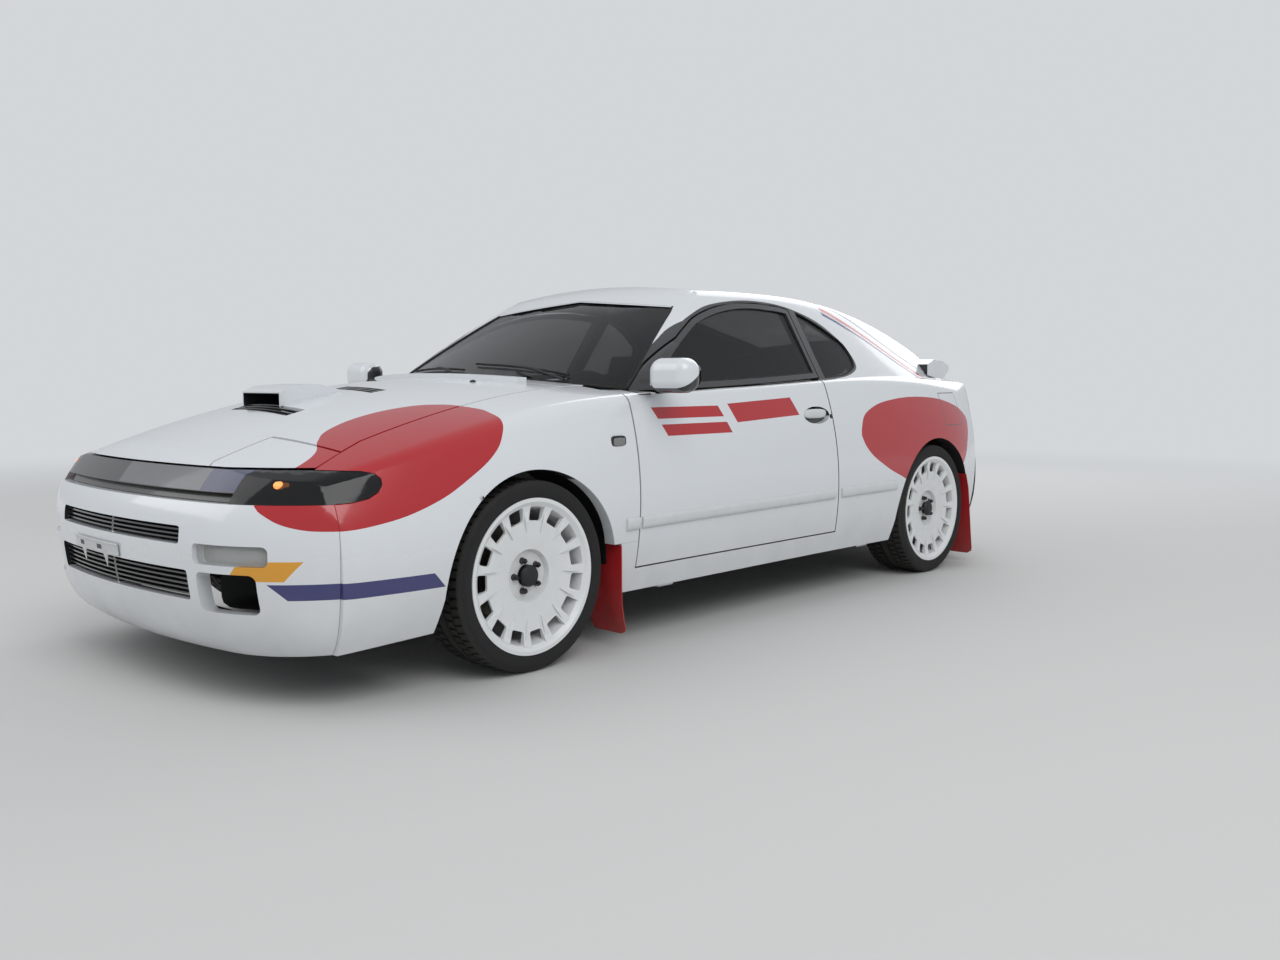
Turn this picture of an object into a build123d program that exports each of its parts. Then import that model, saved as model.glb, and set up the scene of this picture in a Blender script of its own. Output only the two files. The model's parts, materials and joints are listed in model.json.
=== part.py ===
"""Rally car: a two-door liftback coupe of about 1990 with four-wheel drive, on its wheels.

Millimetres. +X is forward, +Y is the car's left, +Z is up. The origin is on the ground, under the
middle of the car's length and width, which is also the middle of the wheelbase.
The body is cut from two lofted forms, the lower body and the cabin, whose sections are the two
tables below. Every panel is a piece of the wall between an outer and an inner form.
"""

import math
import os

from build123d import *

# Driving dimensions of the whole car
wheelbase = 2525.0
front_overhang = 947.5
rear_overhang = 947.5
body_half_width = 872.5
front_track = 1475.0
rear_track = 1465.0
front_axle_x = wheelbase / 2
rear_axle_x = -wheelbase / 2
nose_x = front_axle_x + front_overhang
tail_x = rear_axle_x - rear_overhang

# Walls, shut lines and clearances
panel_wall = 26.0
side_wall = 60.0
door_wall = 84.0
cabin_wall = 34.0
glass_inset = 7.0
glass_thick = 5.0
shut_gap = 5.5
seat_gap = 0.4

# Wheels and tyres
tyre_radius = 302.0
tyre_width = 215.0
tyre_facets = 52
rim_radius = 246.0
rim_well_radius = 212.0
rim_wall = 7.0
spoke_count = 15
spoke_foot_radius = 138.0
plate_radius = 172.0
plate_face_y = 84.0
spoke_ridge_y = 92.0
slot_width = 48.0
slot_outer_width = 62.0
disc_radius = 158.0
lug_circle_radius = 50.0
lug_flat_radius = 9.5
cap_radius = 26.0
arch_liner_radius = 369.0
arch_liner_thick = 8.0
lug_count = 5
lug_hole_radius = 11.0
hub_bore_radius = 27.0

# Wheel arches
arch_radius = 353.0
arch_centre_z = 283.0
arch_foot_half = 392.0

# Front steering: the line from the lower ball joint to the top of the strut, and the locks
ball_joint = (front_axle_x, 660.0, 200.0)
kingpin_lean = 12.0
strut_top_z = 760.0
steering_lock = 33.0

# Shut lines. Side views give X and Z, plan views X and Y
bonnet_rear_centre_x = 985.0
bonnet_rear_side_x = 872.0
bonnet_front_z = 670.0
bumper_top_z = 577.0
bumper_seam_x = 1930.0
door_front_x = 795.0
door_bottom_z = 276.0
door_rear_bottom_x = -435.0
door_rear_belt_x = -388.0
roof_seam_y = 505.0
roof_rear_x = -640.0
tailgate_front_x = -646.0
tailgate_bottom_z = 800.0
rear_bumper_top_z = 640.0
rear_bumper_seam_x = -1845.0
tail_seam_x = -1990.0

# Side window outline, then the line of the rear edge of the door's glass
window_arcs = (
    (730, 868), (500, 1014), (253, 1146), (36, 1206), (-284, 1224), (-540, 1185), (-730, 1092), (-781, 998), (-761, 965),
    (-687, 940), (-564, 923), (-52, 894),
)
window_frame = 20.0
pillar_foot_x = -378.0
pillar_head_x = -419.0
pillar_half = 34.0

# What stands on or is let into the panels, hangs from them, or shows through them
handle_x = -290.0
handle_z = 766.0
handle_half_length = 92.0
handle_half_height = 35.0
handle_depth = 20.0
scoop_front_x = 1702.0
scoop_half_width = 120.0
scoop_skin = 6.0
vent_columns = ("x_rear", "x_front", "y_low", "y_high", "slots")
vent_table = (
    (1685, 1757, -100, 250, 3),
    (1380, 1440, 10, 240, 3),
)
vent_bar = 7.0
front_flap = ((893, 289.7), (887, 289.7), (887, 172), (864, 56), (870, 56), (893, 170))
rear_flap = (
    (-1567, 450), (-1595, 380), (-1608, 300), (-1609, 282), (-1650, 45), (-1656, 45), (-1615, 282), (-1614, 300),
    (-1601, 380), (-1573, 450),
)
jack_pad_x = (600.0, -700.0)
jack_pad_z = 180.0
louvre_edge_z = 919.0
louvre_middle_z = 934.0
louvre_half_width = 430.0
louvre_length = 66.0
louvre_rim = 9.0
louvre_slots = 6
nose_slot_z = 604.0
spoiler_half_width = 640.0
air_opening_table = ((400, 460, 510), (430, 305, 390))
air_bar_counts = (3, 5)
air_bar_half = 2.5
bar_inset = 14.0
tow_eye = (1975.0, 411.0, 150.0)
tail_pipe_y = 460.0
tail_pipe_end_x = -2175.0
spring_seat_z = 640.0

# Seam between bonnet and fender, in plan, from the rear forwards
bonnet_seam = ((872, 556), (1300, 593), (1740, 625), (1830, 650), (1960, 690), (2300, 742))

# Windscreen outline from the front: half width at each height, then the top on the centre line
screen_outline = ((700, 872), (678, 925), (627, 1015), (579, 1095), (536, 1165), (515, 1190))
screen_top_z = 1232.0
screen_bottom_z = 850.0

# Pop-up headlamps, left lid in plan
lid_inner_y = 395.0
lid_rear_inner_x = 1892.0
lid_rear_outer_x = 1822.0
lid_wall = 20.0
lid_hinge = (1815.0, 765.0)
lid_opening = 50.0
lamp_radius = 62.0
lamp_lens = (1935.0, 655.0)
lamp_lens_y = 462.0
lamp_depth = 62.0
pod_reach = 200.0

# Running clearance of pins and spindles in their bores
pin_clearance = 0.4

# Steering wheel: centre, tilt, rim and column
steering_wheel_centre = (470.0, 340.0, 770.0)
steering_wheel_tilt = 65.0
steering_wheel_radius = 180.0

# Floor, tunnel and exhaust
floor_low_z = 202.0
floor_thick = 12.0
tunnel_half = 122.0
tunnel_top_z = 352.0
exhaust_z = 250.0
exhaust_radius = 27.0
shaft_z = 302.0
shaft_radius = 30.0

# Lower body sections: station, bottom corner, widest point, shoulder corner, crown, shoulder rounding
lower_columns = (
    "x", "bottom_z", "bottom_y", "wide_z", "wide_y", "shoulder_z", "shoulder_y", "crown_z", "rounding",
)
lower_table = (
    (2300, 150, 640, 470, 706, 545, 630, 592, 40),
    (2030, 154, 755, 492, 788, 620, 728, 728, 60),
    (1700, 178, 812, 545, 843, 700, 776, 828, 85),
    (1262, 190, 820, 590, 861, 800, 787, 901, 95),
    (800, 190, 813, 585, 858, 858, 800, 920, 50),
    (100, 190, 810, 580, 856, 886, 804, 910, 28),
    (-600, 190, 812, 585, 858, 914, 788, 936, 36),
    (-1262, 190, 820, 600, 861, 916, 768, 948, 88),
    (-1700, 190, 765, 600, 812, 899, 712, 940, 92),
    (-2300, 190, 570, 600, 615, 848, 560, 890, 60),
)

# Cabin sections: station, half width at the belt, roof rail corner, crown of the roof, rail rounding
cabin_columns = ("x", "belt_y", "rail_y", "rail_z", "crown_z", "rounding")
cabin_table = (
    (1150, 802, 560, 1205, 1238, 55),
    (600, 802, 555, 1235, 1274, 58),
    (100, 801, 546, 1257, 1298, 60),
    (-400, 792, 538, 1264, 1305, 65),
    (-850, 766, 525, 1236, 1281, 84),
    (-1300, 714, 503, 1158, 1209, 112),
    (-1700, 652, 480, 1047, 1099, 110),
    (-2080, 600, 455, 820, 870, 50),
)
cabin_belt_z = 870.0
cabin_foot_z = 700.0
cabin_foot_step = 62.0

# Windscreen: where its curved sheet crosses the centre line at each height, and its plan radius
screen_columns = ("z", "centre_x", "plan_radius")
screen_table = (
    (780, 1100, 1150),
    (1050, 592, 1500),
    (1340, 30, 2300),
)
screen_reach_y = 1000.0

# Nose and tail in plan: a shallow front arc, then a corner arc. Insets say how far each height is set back
nose_arc_half = 480.0
nose_arc_sag = 38.6
nose_corner_radius = 450.0
tail_arc_half = 270.0
tail_arc_sag = 30.0
tail_corner_radius = 720.0
corner_end_front_x = 1800.0
corner_end_rear_x = -1850.0
body_inset_columns = ("z", "front_inset", "rear_inset")
body_inset_table = (
    (120, 60, 75),
    (590, 42, 62),
    (690, 122, 66),
    (850, 340, 84),
    (1150, 700, 230),
)
bumper_inset_table = (
    (140, 110, 120),
    (215, 40, 40),
    (430, 0, 0),
    (560, 20, 10),
    (640, 90, 40),
)


def row_values(columns, row):
    return dict(zip(columns, row))


def both_sides(shape):
    """The shape and its mirror image on the car's other side."""
    return [shape, mirror(shape, about=Plane.XZ)]


def solids_of(shape, smallest=1000.0):
    """The shape's solids, without slivers left by a cut."""
    shapes = shape if isinstance(shape, (list, tuple)) else [shape]
    return [s for one in shapes for s in one.solids() if s.volume > smallest]


def whole(shape, smallest=1000.0):
    found = solids_of(shape, smallest)
    return found[0] if len(found) == 1 else Compound(children=found)


def side_prism(outline, y_low=-1100.0, y_high=1100.0):
    """A side view outline, drawn in X and Z, run across the car from y_low to y_high."""
    drawn = Plane(origin=(0, y_high, 0), x_dir=(1, 0, 0), z_dir=(0, -1, 0)) * outline
    return extrude(drawn, amount=y_high - y_low)


def plan_prism(outline, z_low=0.0, z_high=1500.0):
    return extrude(Plane.XY.offset(z_low) * outline, amount=z_high - z_low)


def front_prism(outline, x_low, x_high):
    """A front view outline, drawn in Y and Z, run along the car from x_low to x_high."""
    return extrude(Plane(origin=(x_low, 0, 0), x_dir=(0, 1, 0), z_dir=(1, 0, 0)) * outline, amount=x_high - x_low)


def polygon(*points):
    return make_face(Polyline(*points, close=True))


def block(x, y, z):
    """A box between two values along each axis."""
    size = (x[1] - x[0], y[1] - y[0], z[1] - z[0])
    centre = ((x[0] + x[1]) / 2, (y[0] + y[1]) / 2, (z[0] + z[1]) / 2)
    return Pos(*centre) * Box(*size)


def rod(start, end, radius):
    """A round bar between two points."""
    axis = Vector(*end) - Vector(*start)
    plane = Plane(origin=start, z_dir=axis)
    return extrude(plane * Circle(radius), amount=axis.length)


# Body forms


def lower_section(row, inset):
    """One closed section of the lower body: flat bottom, bowed side, rounded shoulder, crowned top."""
    v = row_values(lower_columns, row)
    bottom = (v["bottom_y"] - inset, v["bottom_z"] + inset)
    wide = (v["wide_y"] - inset, v["wide_z"])
    shoulder = (v["shoulder_y"] - inset, v["shoulder_z"] - inset)
    crown = (0, v["crown_z"] - inset)

    def left(point):
        return (-point[0], point[1])

    face = make_face(
        [
            Line(left(bottom), bottom),
            ThreePointArc(bottom, wide, shoulder),
            ThreePointArc(shoulder, crown, left(shoulder)),
            ThreePointArc(left(shoulder), left(wide), left(bottom)),
        ]
    )
    corners = face.vertices().sort_by(Axis.Y)[-2:]
    rounded = fillet(corners, max(v["rounding"] - inset * 0.5, 8.0))
    return Plane(origin=(v["x"], 0, 0), x_dir=(0, 1, 0), z_dir=(1, 0, 0)) * rounded


def cabin_section(row, inset):
    """One closed section of the cabin: foot inside the lower body, leaning side, rounded rail, roof."""
    v = row_values(cabin_columns, row)
    foot = (v["belt_y"] - cabin_foot_step - inset, cabin_foot_z)
    belt = (v["belt_y"] - inset, cabin_belt_z)
    rail = (v["rail_y"] - inset * 0.8, v["rail_z"] - inset)
    crown = (0, v["crown_z"] - inset)

    def left(point):
        return (-point[0], point[1])

    face = make_face(
        [
            Line(left(foot), foot),
            Line(foot, belt),
            Line(belt, rail),
            ThreePointArc(rail, crown, left(rail)),
            Line(left(rail), left(belt)),
            Line(left(belt), left(foot)),
        ]
    )
    corners = face.vertices().sort_by(Axis.Y)[-2:]
    rounded = fillet(corners, max(v["rounding"] - inset * 0.5, 8.0))
    return Plane(origin=(v["x"], 0, 0), x_dir=(0, 1, 0), z_dir=(1, 0, 0)) * rounded


def form_rows(table, inset):
    """Every row for a form that shows, every second one for the inside of a thick wall."""
    if inset < 26.0:
        return table
    return table[:-1:2] + table[-1:]


def lower_form(inset=0.0):
    return loft([lower_section(row, inset) for row in form_rows(lower_table, inset)])


def cabin_form(inset=0.0):
    return loft([cabin_section(row, inset) for row in form_rows(cabin_table, inset)])


def screen_form(inset=0.0):
    """Everything behind the windscreen's curved sheet."""
    sections = []
    for row in screen_table:
        v = row_values(screen_columns, row)
        centre = v["centre_x"] - inset
        side = centre - (v["plan_radius"] - math.sqrt(v["plan_radius"] ** 2 - screen_reach_y**2))
        outline = [
            ThreePointArc((side, -screen_reach_y), (centre, 0), (side, screen_reach_y)),
            Line((side, screen_reach_y), (-2600, screen_reach_y)),
            Line((-2600, screen_reach_y), (-2600, -screen_reach_y)),
            Line((-2600, -screen_reach_y), (side, -screen_reach_y)),
        ]
        sections.append(Plane.XY.offset(v["z"]) * make_face(outline))
    return loft(sections)


def plan_outline(front_inset, rear_inset):
    """The body seen from above. Its sides lie outside the body, so that only nose and tail cut."""
    reach = 1000.0
    points = {}
    corner_x = nose_x - nose_arc_sag - nose_corner_radius * math.cos(math.asin(nose_arc_half / 2990.0))
    slope = math.asin(nose_arc_half / 2990.0)
    corner_y = nose_arc_half - nose_corner_radius * math.sin(slope)
    end_y = corner_y + math.sqrt(nose_corner_radius**2 - (corner_end_front_x - corner_x) ** 2)
    middle = (slope + math.acos((corner_end_front_x - corner_x) / nose_corner_radius)) / 2
    points["front"] = [
        (nose_x, 0),
        (nose_x - nose_arc_sag, nose_arc_half),
        (corner_x + nose_corner_radius * math.cos(middle), corner_y + nose_corner_radius * math.sin(middle)),
        (corner_end_front_x, end_y),
    ]
    slope = math.radians(10.0)
    corner_x = tail_x + tail_arc_sag + tail_corner_radius * math.cos(slope)
    corner_y = tail_arc_half - tail_corner_radius * math.sin(slope)
    end_y = corner_y + math.sqrt(tail_corner_radius**2 - (corner_end_rear_x - corner_x) ** 2)
    middle = (slope + math.acos((corner_x - corner_end_rear_x) / tail_corner_radius)) / 2
    points["rear"] = [
        (tail_x, 0),
        (tail_x + tail_arc_sag, tail_arc_half),
        (corner_x - tail_corner_radius * math.cos(middle), corner_y + tail_corner_radius * math.sin(middle)),
        (corner_end_rear_x, end_y),
    ]
    f = [(x - front_inset, y) for x, y in points["front"]]
    r = [(x + rear_inset, y) for x, y in points["rear"]]

    def right(point):
        return (point[0], -point[1])

    front_side = (f[3][0] - 200.0, reach)
    rear_side = (r[3][0] + 200.0, reach)
    return make_face(
        [
            ThreePointArc(right(f[1]), f[0], f[1]),
            ThreePointArc(f[1], f[2], f[3]),
            Line(f[3], front_side),
            Line(front_side, rear_side),
            Line(rear_side, r[3]),
            ThreePointArc(r[3], r[2], r[1]),
            ThreePointArc(r[1], r[0], right(r[1])),
            ThreePointArc(right(r[1]), right(r[2]), right(r[3])),
            Line(right(r[3]), right(rear_side)),
            Line(right(rear_side), right(front_side)),
            Line(right(front_side), right(f[3])),
            ThreePointArc(right(f[3]), right(f[2]), right(f[1])),
        ]
    )


def plan_form(table, inset=0.0):
    sections = []
    for row in table:
        v = row_values(body_inset_columns, row)
        outline = plan_outline(v["front_inset"] + inset, v["rear_inset"] + inset)
        sections.append(Plane.XY.offset(v["z"]) * outline)
    return loft(sections)


def arch_prism(axle_x, radius=arch_radius, y_low=-1100.0, y_high=1100.0, foot=arch_foot_half):
    """Wheel arch opening: a round top that widens below the axle."""
    top = Pos(axle_x, arch_centre_z) * Circle(radius)
    foot_shape = make_face(
        Polyline(
            (axle_x - radius, arch_centre_z),
            (axle_x + radius, arch_centre_z),
            (axle_x + foot, 60),
            (axle_x - foot, 60),
            close=True,
        )
    )
    return side_prism(top + foot_shape, y_low, y_high)


class Forms:
    """Lofted forms at each inset, made once."""

    def __init__(self):
        self.made = {}

    def get(self, kind, inset):
        key = (kind, inset)
        if key not in self.made:
            if kind == "body":
                self.made[key] = lower_form(inset) & plan_form(body_inset_table, inset)
            elif kind == "bumper":
                self.made[key] = lower_form(inset) & plan_form(bumper_inset_table, inset)
            else:
                self.made[key] = cabin_form(inset) & screen_form(inset)
        return self.made[key]

    def shell(self, kind, wall, start=0.0):
        key = (kind, wall, start)
        if key not in self.made:
            self.made[key] = self.get(kind, start) - self.get(kind, start + wall)
        return self.made[key]


forms = Forms()

left_side = block((-2500, 2500), (2, 1100), (0, 1500))
half_gap = shut_gap / 2


def tailgate_plan(grow=0.0):
    side = ((-700, 508), (-1000, 545), (-1300, 588), (-1600, 618), (-1850, 628), (-2300, 600))
    right = [(x, -y - grow) for x, y in side]
    left = [(x, y + grow) for x, y in reversed(side)]
    front = [(tailgate_front_x + grow, 500 + grow), (tailgate_front_x + grow, -500 - grow)]
    return polygon(*front, *right, *left)


def tailgate_space(grow=0.0):
    return plan_prism(tailgate_plan(grow), tailgate_bottom_z - grow, 1400.0)


def door_outline(grow=0.0):
    """Door below its belt in side view."""
    return polygon(
        (door_front_x + grow, door_bottom_z - grow),
        (door_front_x + grow, 875 + grow),
        (705, 875 + grow),
        (door_rear_belt_x - grow, 915 + grow),
        (door_rear_bottom_x - grow, door_bottom_z - grow),
    )


def window_face(inset=0.0):
    """Side windows' common outline: arcs through every second point of the table."""
    points = (*window_arcs, window_arcs[0])
    arcs = [ThreePointArc(points[i], points[i + 1], points[i + 2]) for i in range(0, len(window_arcs), 2)]
    face = make_face(arcs)
    return offset(face, amount=-inset, kind=Kind.TANGENT) if inset else face


def pillar_cut(offset_x):
    """Everything ahead of the line of the pillar behind the door's glass, moved along the car."""
    return polygon(
        (pillar_foot_x + offset_x, 700),
        (1500, 700),
        (1500, 1400),
        (pillar_head_x - 41 + offset_x, 1400),
    )


def screen_face(inset=0.0):
    sides = [(y - inset, z) for y, z in screen_outline]
    left = [(-y, z) for y, z in reversed(sides)]
    top = screen_top_z - inset
    return polygon((0, screen_bottom_z - 40), (sides[0][0], screen_bottom_z - 40), *sides, (0, top), *left,
                   (-sides[0][0], screen_bottom_z - 40))


def seam_points(grow=0.0):
    return [(x, y + grow) for x, y in bonnet_seam]


def bonnet_plan(grow=0.0):
    """Bonnet and nose between the two fender seams, in plan."""
    side = seam_points(grow - half_gap)
    rear_x, rear_y = side[0][0] - grow, side[0][1]
    return make_face(
        [
            ThreePointArc((rear_x, -rear_y), (bonnet_rear_centre_x - grow, 0), (rear_x, rear_y)),
            Polyline((rear_x, rear_y), *side[1:]),
            Line(side[-1], (side[-1][0], -side[-1][1])),
            Polyline(*[(x, -y) for x, y in reversed(side[1:])], (rear_x, -rear_y)),
        ]
    )


def lid_plan(grow=0.0, sign=1):
    """Pop-up lamp's lid: its outer edge is the fender seam."""
    side = [(x, y - half_gap) for x, y in bonnet_seam[3:]]
    points = [
        (lid_rear_inner_x - grow, lid_inner_y - grow),
        (2300, lid_inner_y - grow),
        *[(x, y + 2 * grow) for x, y in reversed(side[1:])],
        (lid_rear_outer_x - grow, side[0][1] + 2 * grow),
    ]
    return polygon(*[(x, sign * y) for x, y in points])


def vent_slots(row):
    """The openings of one bonnet vent in plan, between bars that run across the car."""
    v = row_values(vent_columns, row)
    pitch = (v["x_front"] - v["x_rear"]) / v["slots"]
    for index in range(v["slots"]):
        centre_x = v["x_rear"] + pitch * (index + 0.5)
        centre_y = (v["y_low"] + v["y_high"]) / 2
        yield Pos(centre_x, centre_y) * Rectangle(pitch - vent_bar, v["y_high"] - v["y_low"])


def make_bonnet():
    """Skin with its openings for the lids, its vents and a raised scoop open to the front."""
    outer = forms.get("body", 0.0) & plan_prism(bonnet_plan(), bonnet_front_z, 1000.0)
    skin = outer - forms.get("body", panel_wall)
    for sign in (1, -1):
        for step in (0, -6):
            skin -= plan_prism(Pos(step, 0) * lid_plan(shut_gap, sign), 500.0, 1000.0)
    skin -= [plan_prism(slot, 700.0, 1000.0) for row in vent_table for slot in vent_slots(row)]
    profile = polygon((1440, 840), (1440, 868), (1560, 897), (1660, 890), (scoop_front_x, 872), (scoop_front_x, 780))
    bore = polygon((1500, 800), (1520, 872), (1600, 884), (1660, 880), (scoop_front_x + 9, 863), (scoop_front_x + 9, 780))
    tower = side_prism(profile, -scoop_half_width, scoop_half_width)
    tower -= side_prism(bore, -scoop_half_width + scoop_skin, scoop_half_width - scoop_skin)
    tower -= outer
    return whole(skin + [tower, make_louvre()])


def make_louvre():
    """Raised strip of slots along the bonnet's rear edge."""
    half = louvre_half_width
    near, far = bonnet_plan(-8.0), bonnet_plan(-8.0 - louvre_length)
    slots_near, slots_far = bonnet_plan(-8.0 - louvre_rim), bonnet_plan(-8.0 - louvre_length + louvre_rim)
    strip = plan_prism((near - far) & Rectangle(4000, 2 * half), 860, 1000)
    pitch = 2 * half / louvre_slots
    cells = [Pos(0, pitch * (i + 0.5) - half) * Rectangle(4000, pitch - louvre_rim) for i in range(louvre_slots)]
    ring = slots_near - slots_far
    top = make_face([
        ThreePointArc((-half, louvre_edge_z), (0, louvre_middle_z), (half, louvre_edge_z)),
        Polyline((half, louvre_edge_z), (half, 872), (-half, 872), (-half, louvre_edge_z)),
    ])
    strip &= front_prism(top, 800, 1200)
    return strip - [plan_prism(ring & cell, 895, 1000) for cell in cells]


def make_nose_panel():
    """Dark band between the lids and the bumper, set back under a lip."""
    low, high = bumper_top_z + 1, bonnet_front_z - shut_gap
    band = forms.get("body", 0.0) & block((1900, 2300), (-760, 760), (low, high))
    band -= forms.get("body", panel_wall)
    band -= side_prism(lamp_outline(1.5), 560, 1000) + side_prism(lamp_outline(1.5), -1000, -560)
    lip = forms.get("body", 0.0) & block((1900, 2300), (-560, 560), (low - 1, nose_slot_z))
    return whole(band - (lip - forms.get("body", lid_wall)), 5000)


def lamp_outline(grow=0.0):
    points = ((2300, 577), (1960, 577), (1880, 580), (1835, 588), (1804, 603), (1787, 622), (1786, 639), (1800, 652),
              (1833, 660), (1935, 664.5), (2300, 664.5))
    face = polygon(*points)
    return offset(face, amount=grow, kind=Kind.INTERSECTION) if grow else face


def make_corner_lamp():
    space = side_prism(lamp_outline(), 560, 1100) & block((1700, 2300), (560, 1100), (500, 760))
    return whole((forms.get("body", 0.0) & space) - forms.get("body", 45.0), 20000)


def make_fender():
    space = block((door_front_x + shut_gap, bumper_seam_x), (500, 1100), (door_bottom_z + 90, 1000))
    space += block((1400, bumper_seam_x), (500, 1100), (150, door_bottom_z + 90))
    space -= plan_prism(bonnet_plan(shut_gap), 0, 1500)
    space -= block((600, 1100), (0, bonnet_seam[0][1] + half_gap), (0, 1500))
    space -= side_prism(lamp_outline(1.5), 500, 1100)
    space -= arch_prism(front_axle_x, y_low=400.0)
    return whole((forms.get("body", 0.0) & space) - forms.get("body", 45.0), 20000)


def make_cowl():
    """Panel between the bonnet's rear edge and the windscreen."""
    half = bonnet_seam[0][1] - half_gap
    outer = forms.get("body", 0.0) & block((640, 1000), (-half, half), (700, 1000))
    outer -= plan_prism(bonnet_plan(shut_gap), 0, 1500)
    skin = outer - forms.get("body", 45.0) - forms.get("cabin", 0.0)
    return whole(skin, 5000)


def make_side_frame():
    """Rocker, pillars and quarter of one side, open where the door and the side windows fit."""
    space = block((-2010, door_front_x + 90), (300, 1100), (0, 1500))
    space -= block((door_front_x - 0.01, 1100), (0, 1100), (door_bottom_z + 90, 1500))
    space -= block((600, 1100), (0, bonnet_seam[0][1] - half_gap + 1), (0, 1500))
    space -= block((-1960, 900), (0, 640), (0, 420))
    space -= side_prism(door_outline(shut_gap), 300, 1100)
    for axle_x in (rear_axle_x, front_axle_x):
        space -= arch_prism(axle_x, y_low=250.0)
    space -= block((-2400, rear_bumper_seam_x + 1), (0, 1100), (0, rear_bumper_top_z))
    space -= block((-2400, tail_seam_x), (0, 1100), (0, 1500))
    space -= tailgate_space(shut_gap)
    lower = (forms.get("body", 0.0) & space) - forms.get("body", side_wall) - forms.get("cabin", cabin_wall)
    window = window_face()
    over = block((-2100, 1000), (300, 1100), (700, 1400)) - front_prism(screen_face(), -100, 1300)
    over -= block((roof_rear_x, 900), (0, roof_seam_y), (1000, 1400))
    over -= side_prism(window - (pillar_cut(-50.0) - pillar_cut(-shut_gap)), 300, 1100)
    over -= tailgate_space(shut_gap) + side_prism(door_outline(shut_gap), 300, 1100)
    upper = (forms.get("cabin", 0.0) & over) - forms.get("cabin", cabin_wall) - forms.get("body", 0.0)
    pads = [block((x - 40, x + 40), (750, 798), (jack_pad_z, jack_pad_z + 40)) for x in jack_pad_x]
    return whole(lower + [upper, *pads], 60000)


def make_roof():
    space = block((roof_rear_x, 900), (-roof_seam_y, roof_seam_y), (1000, 1400))
    space -= front_prism(screen_face(), -100, 1300)
    return whole((forms.get("cabin", 0.0) & space) - forms.get("cabin", cabin_wall), 20000)


def make_screen():
    space = front_prism(screen_face(), 100, 1300) & block((100, 1300), (-900, 900), (700, 1300))
    sheet = (forms.get("cabin", glass_inset) & space) - forms.get("cabin", glass_inset + glass_thick)
    return whole(sheet - forms.get("body", 0.0), 20000)


def make_door():
    """Door as thick as the whole wall, with the recess of its handle and the frame of its window."""
    space = side_prism(door_outline(), 600, 1100)
    lower = (forms.get("body", 0.0) & space) - forms.get("body", door_wall) - forms.get("cabin", cabin_wall)
    recess = side_prism(Pos(handle_x, handle_z) * Ellipse(handle_half_length, handle_half_height), 700, 1100)
    lower -= recess - forms.get("body", handle_depth)
    frame_space = side_prism(window_face(shut_gap) & pillar_cut(0), 300, 1100)
    frame_space -= side_prism(window_face(shut_gap + window_frame) & pillar_cut(22.0), 300, 1100)
    frame_space -= front_prism(screen_face(-2 * shut_gap), -100, 1300)
    frame = (forms.get("cabin", 0.0) & frame_space) - forms.get("cabin", cabin_wall) - forms.get("body", 0.0)
    return whole(lower + frame, 5000)


def make_door_glass():
    space = side_prism(window_face(shut_gap + window_frame) & pillar_cut(22.0), 300, 1100)
    space -= front_prism(screen_face(-2 * shut_gap), -100, 1300)
    sheet = (forms.get("cabin", glass_inset) & space) - forms.get("cabin", glass_inset + glass_thick)
    return whole(sheet - forms.get("body", 0.0), 5000)


def make_quarter_window():
    window = window_face() - pillar_cut(-50.0)
    sheet = forms.get("cabin", glass_inset) & side_prism(window, 300, 1100)
    return whole(sheet - forms.get("cabin", glass_inset + glass_thick) - forms.get("body", 0.0), 5000)


def hatch_glass_plan():
    left = ((-712, 440), (-1000, 462), (-1300, 470), (-1610, 440), (-1640, 300))
    return polygon(*left, *[(x, -y) for x, y in reversed(left)])


def make_tailgate():
    """Lift-back with its window opening and the spoiler on its rear edge."""
    space = tailgate_space()
    low = (forms.get("body", 0.0) & space) - forms.get("body", 45.0) - forms.get("cabin", cabin_wall)
    high = (forms.get("cabin", 0.0) & space) - forms.get("cabin", cabin_wall) - forms.get("body", 0.0)
    skin = (low + high) - plan_prism(hatch_glass_plan(), 950, 1400)
    half = spoiler_half_width
    profile = polygon((-1560, 930), (-1560, 985), (-1640, 1010), (-1800, 1004), (-1925, 980), (-1932, 958), (-1800, 900))
    bar = side_prism(profile, -half, half)
    bar -= plan_prism(polygon((-1500, half + 1), (-1500, half - 8), (-1600, half - 8), (-1950, half - 90), (-1950, half + 1)))
    bar -= plan_prism(polygon((-1500, -half - 1), (-1500, 8 - half), (-1600, 8 - half), (-1950, 90 - half), (-1950, -half - 1)))
    return whole(skin + (bar - forms.get("body", 0.0) - forms.get("cabin", 0.0)), 20000)


def make_tailgate_glass():
    sheet = forms.get("cabin", glass_inset) & plan_prism(hatch_glass_plan(), 900, 1400)
    return whole(sheet - forms.get("cabin", glass_inset + glass_thick) - forms.get("body", 0.0), 20000)


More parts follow.
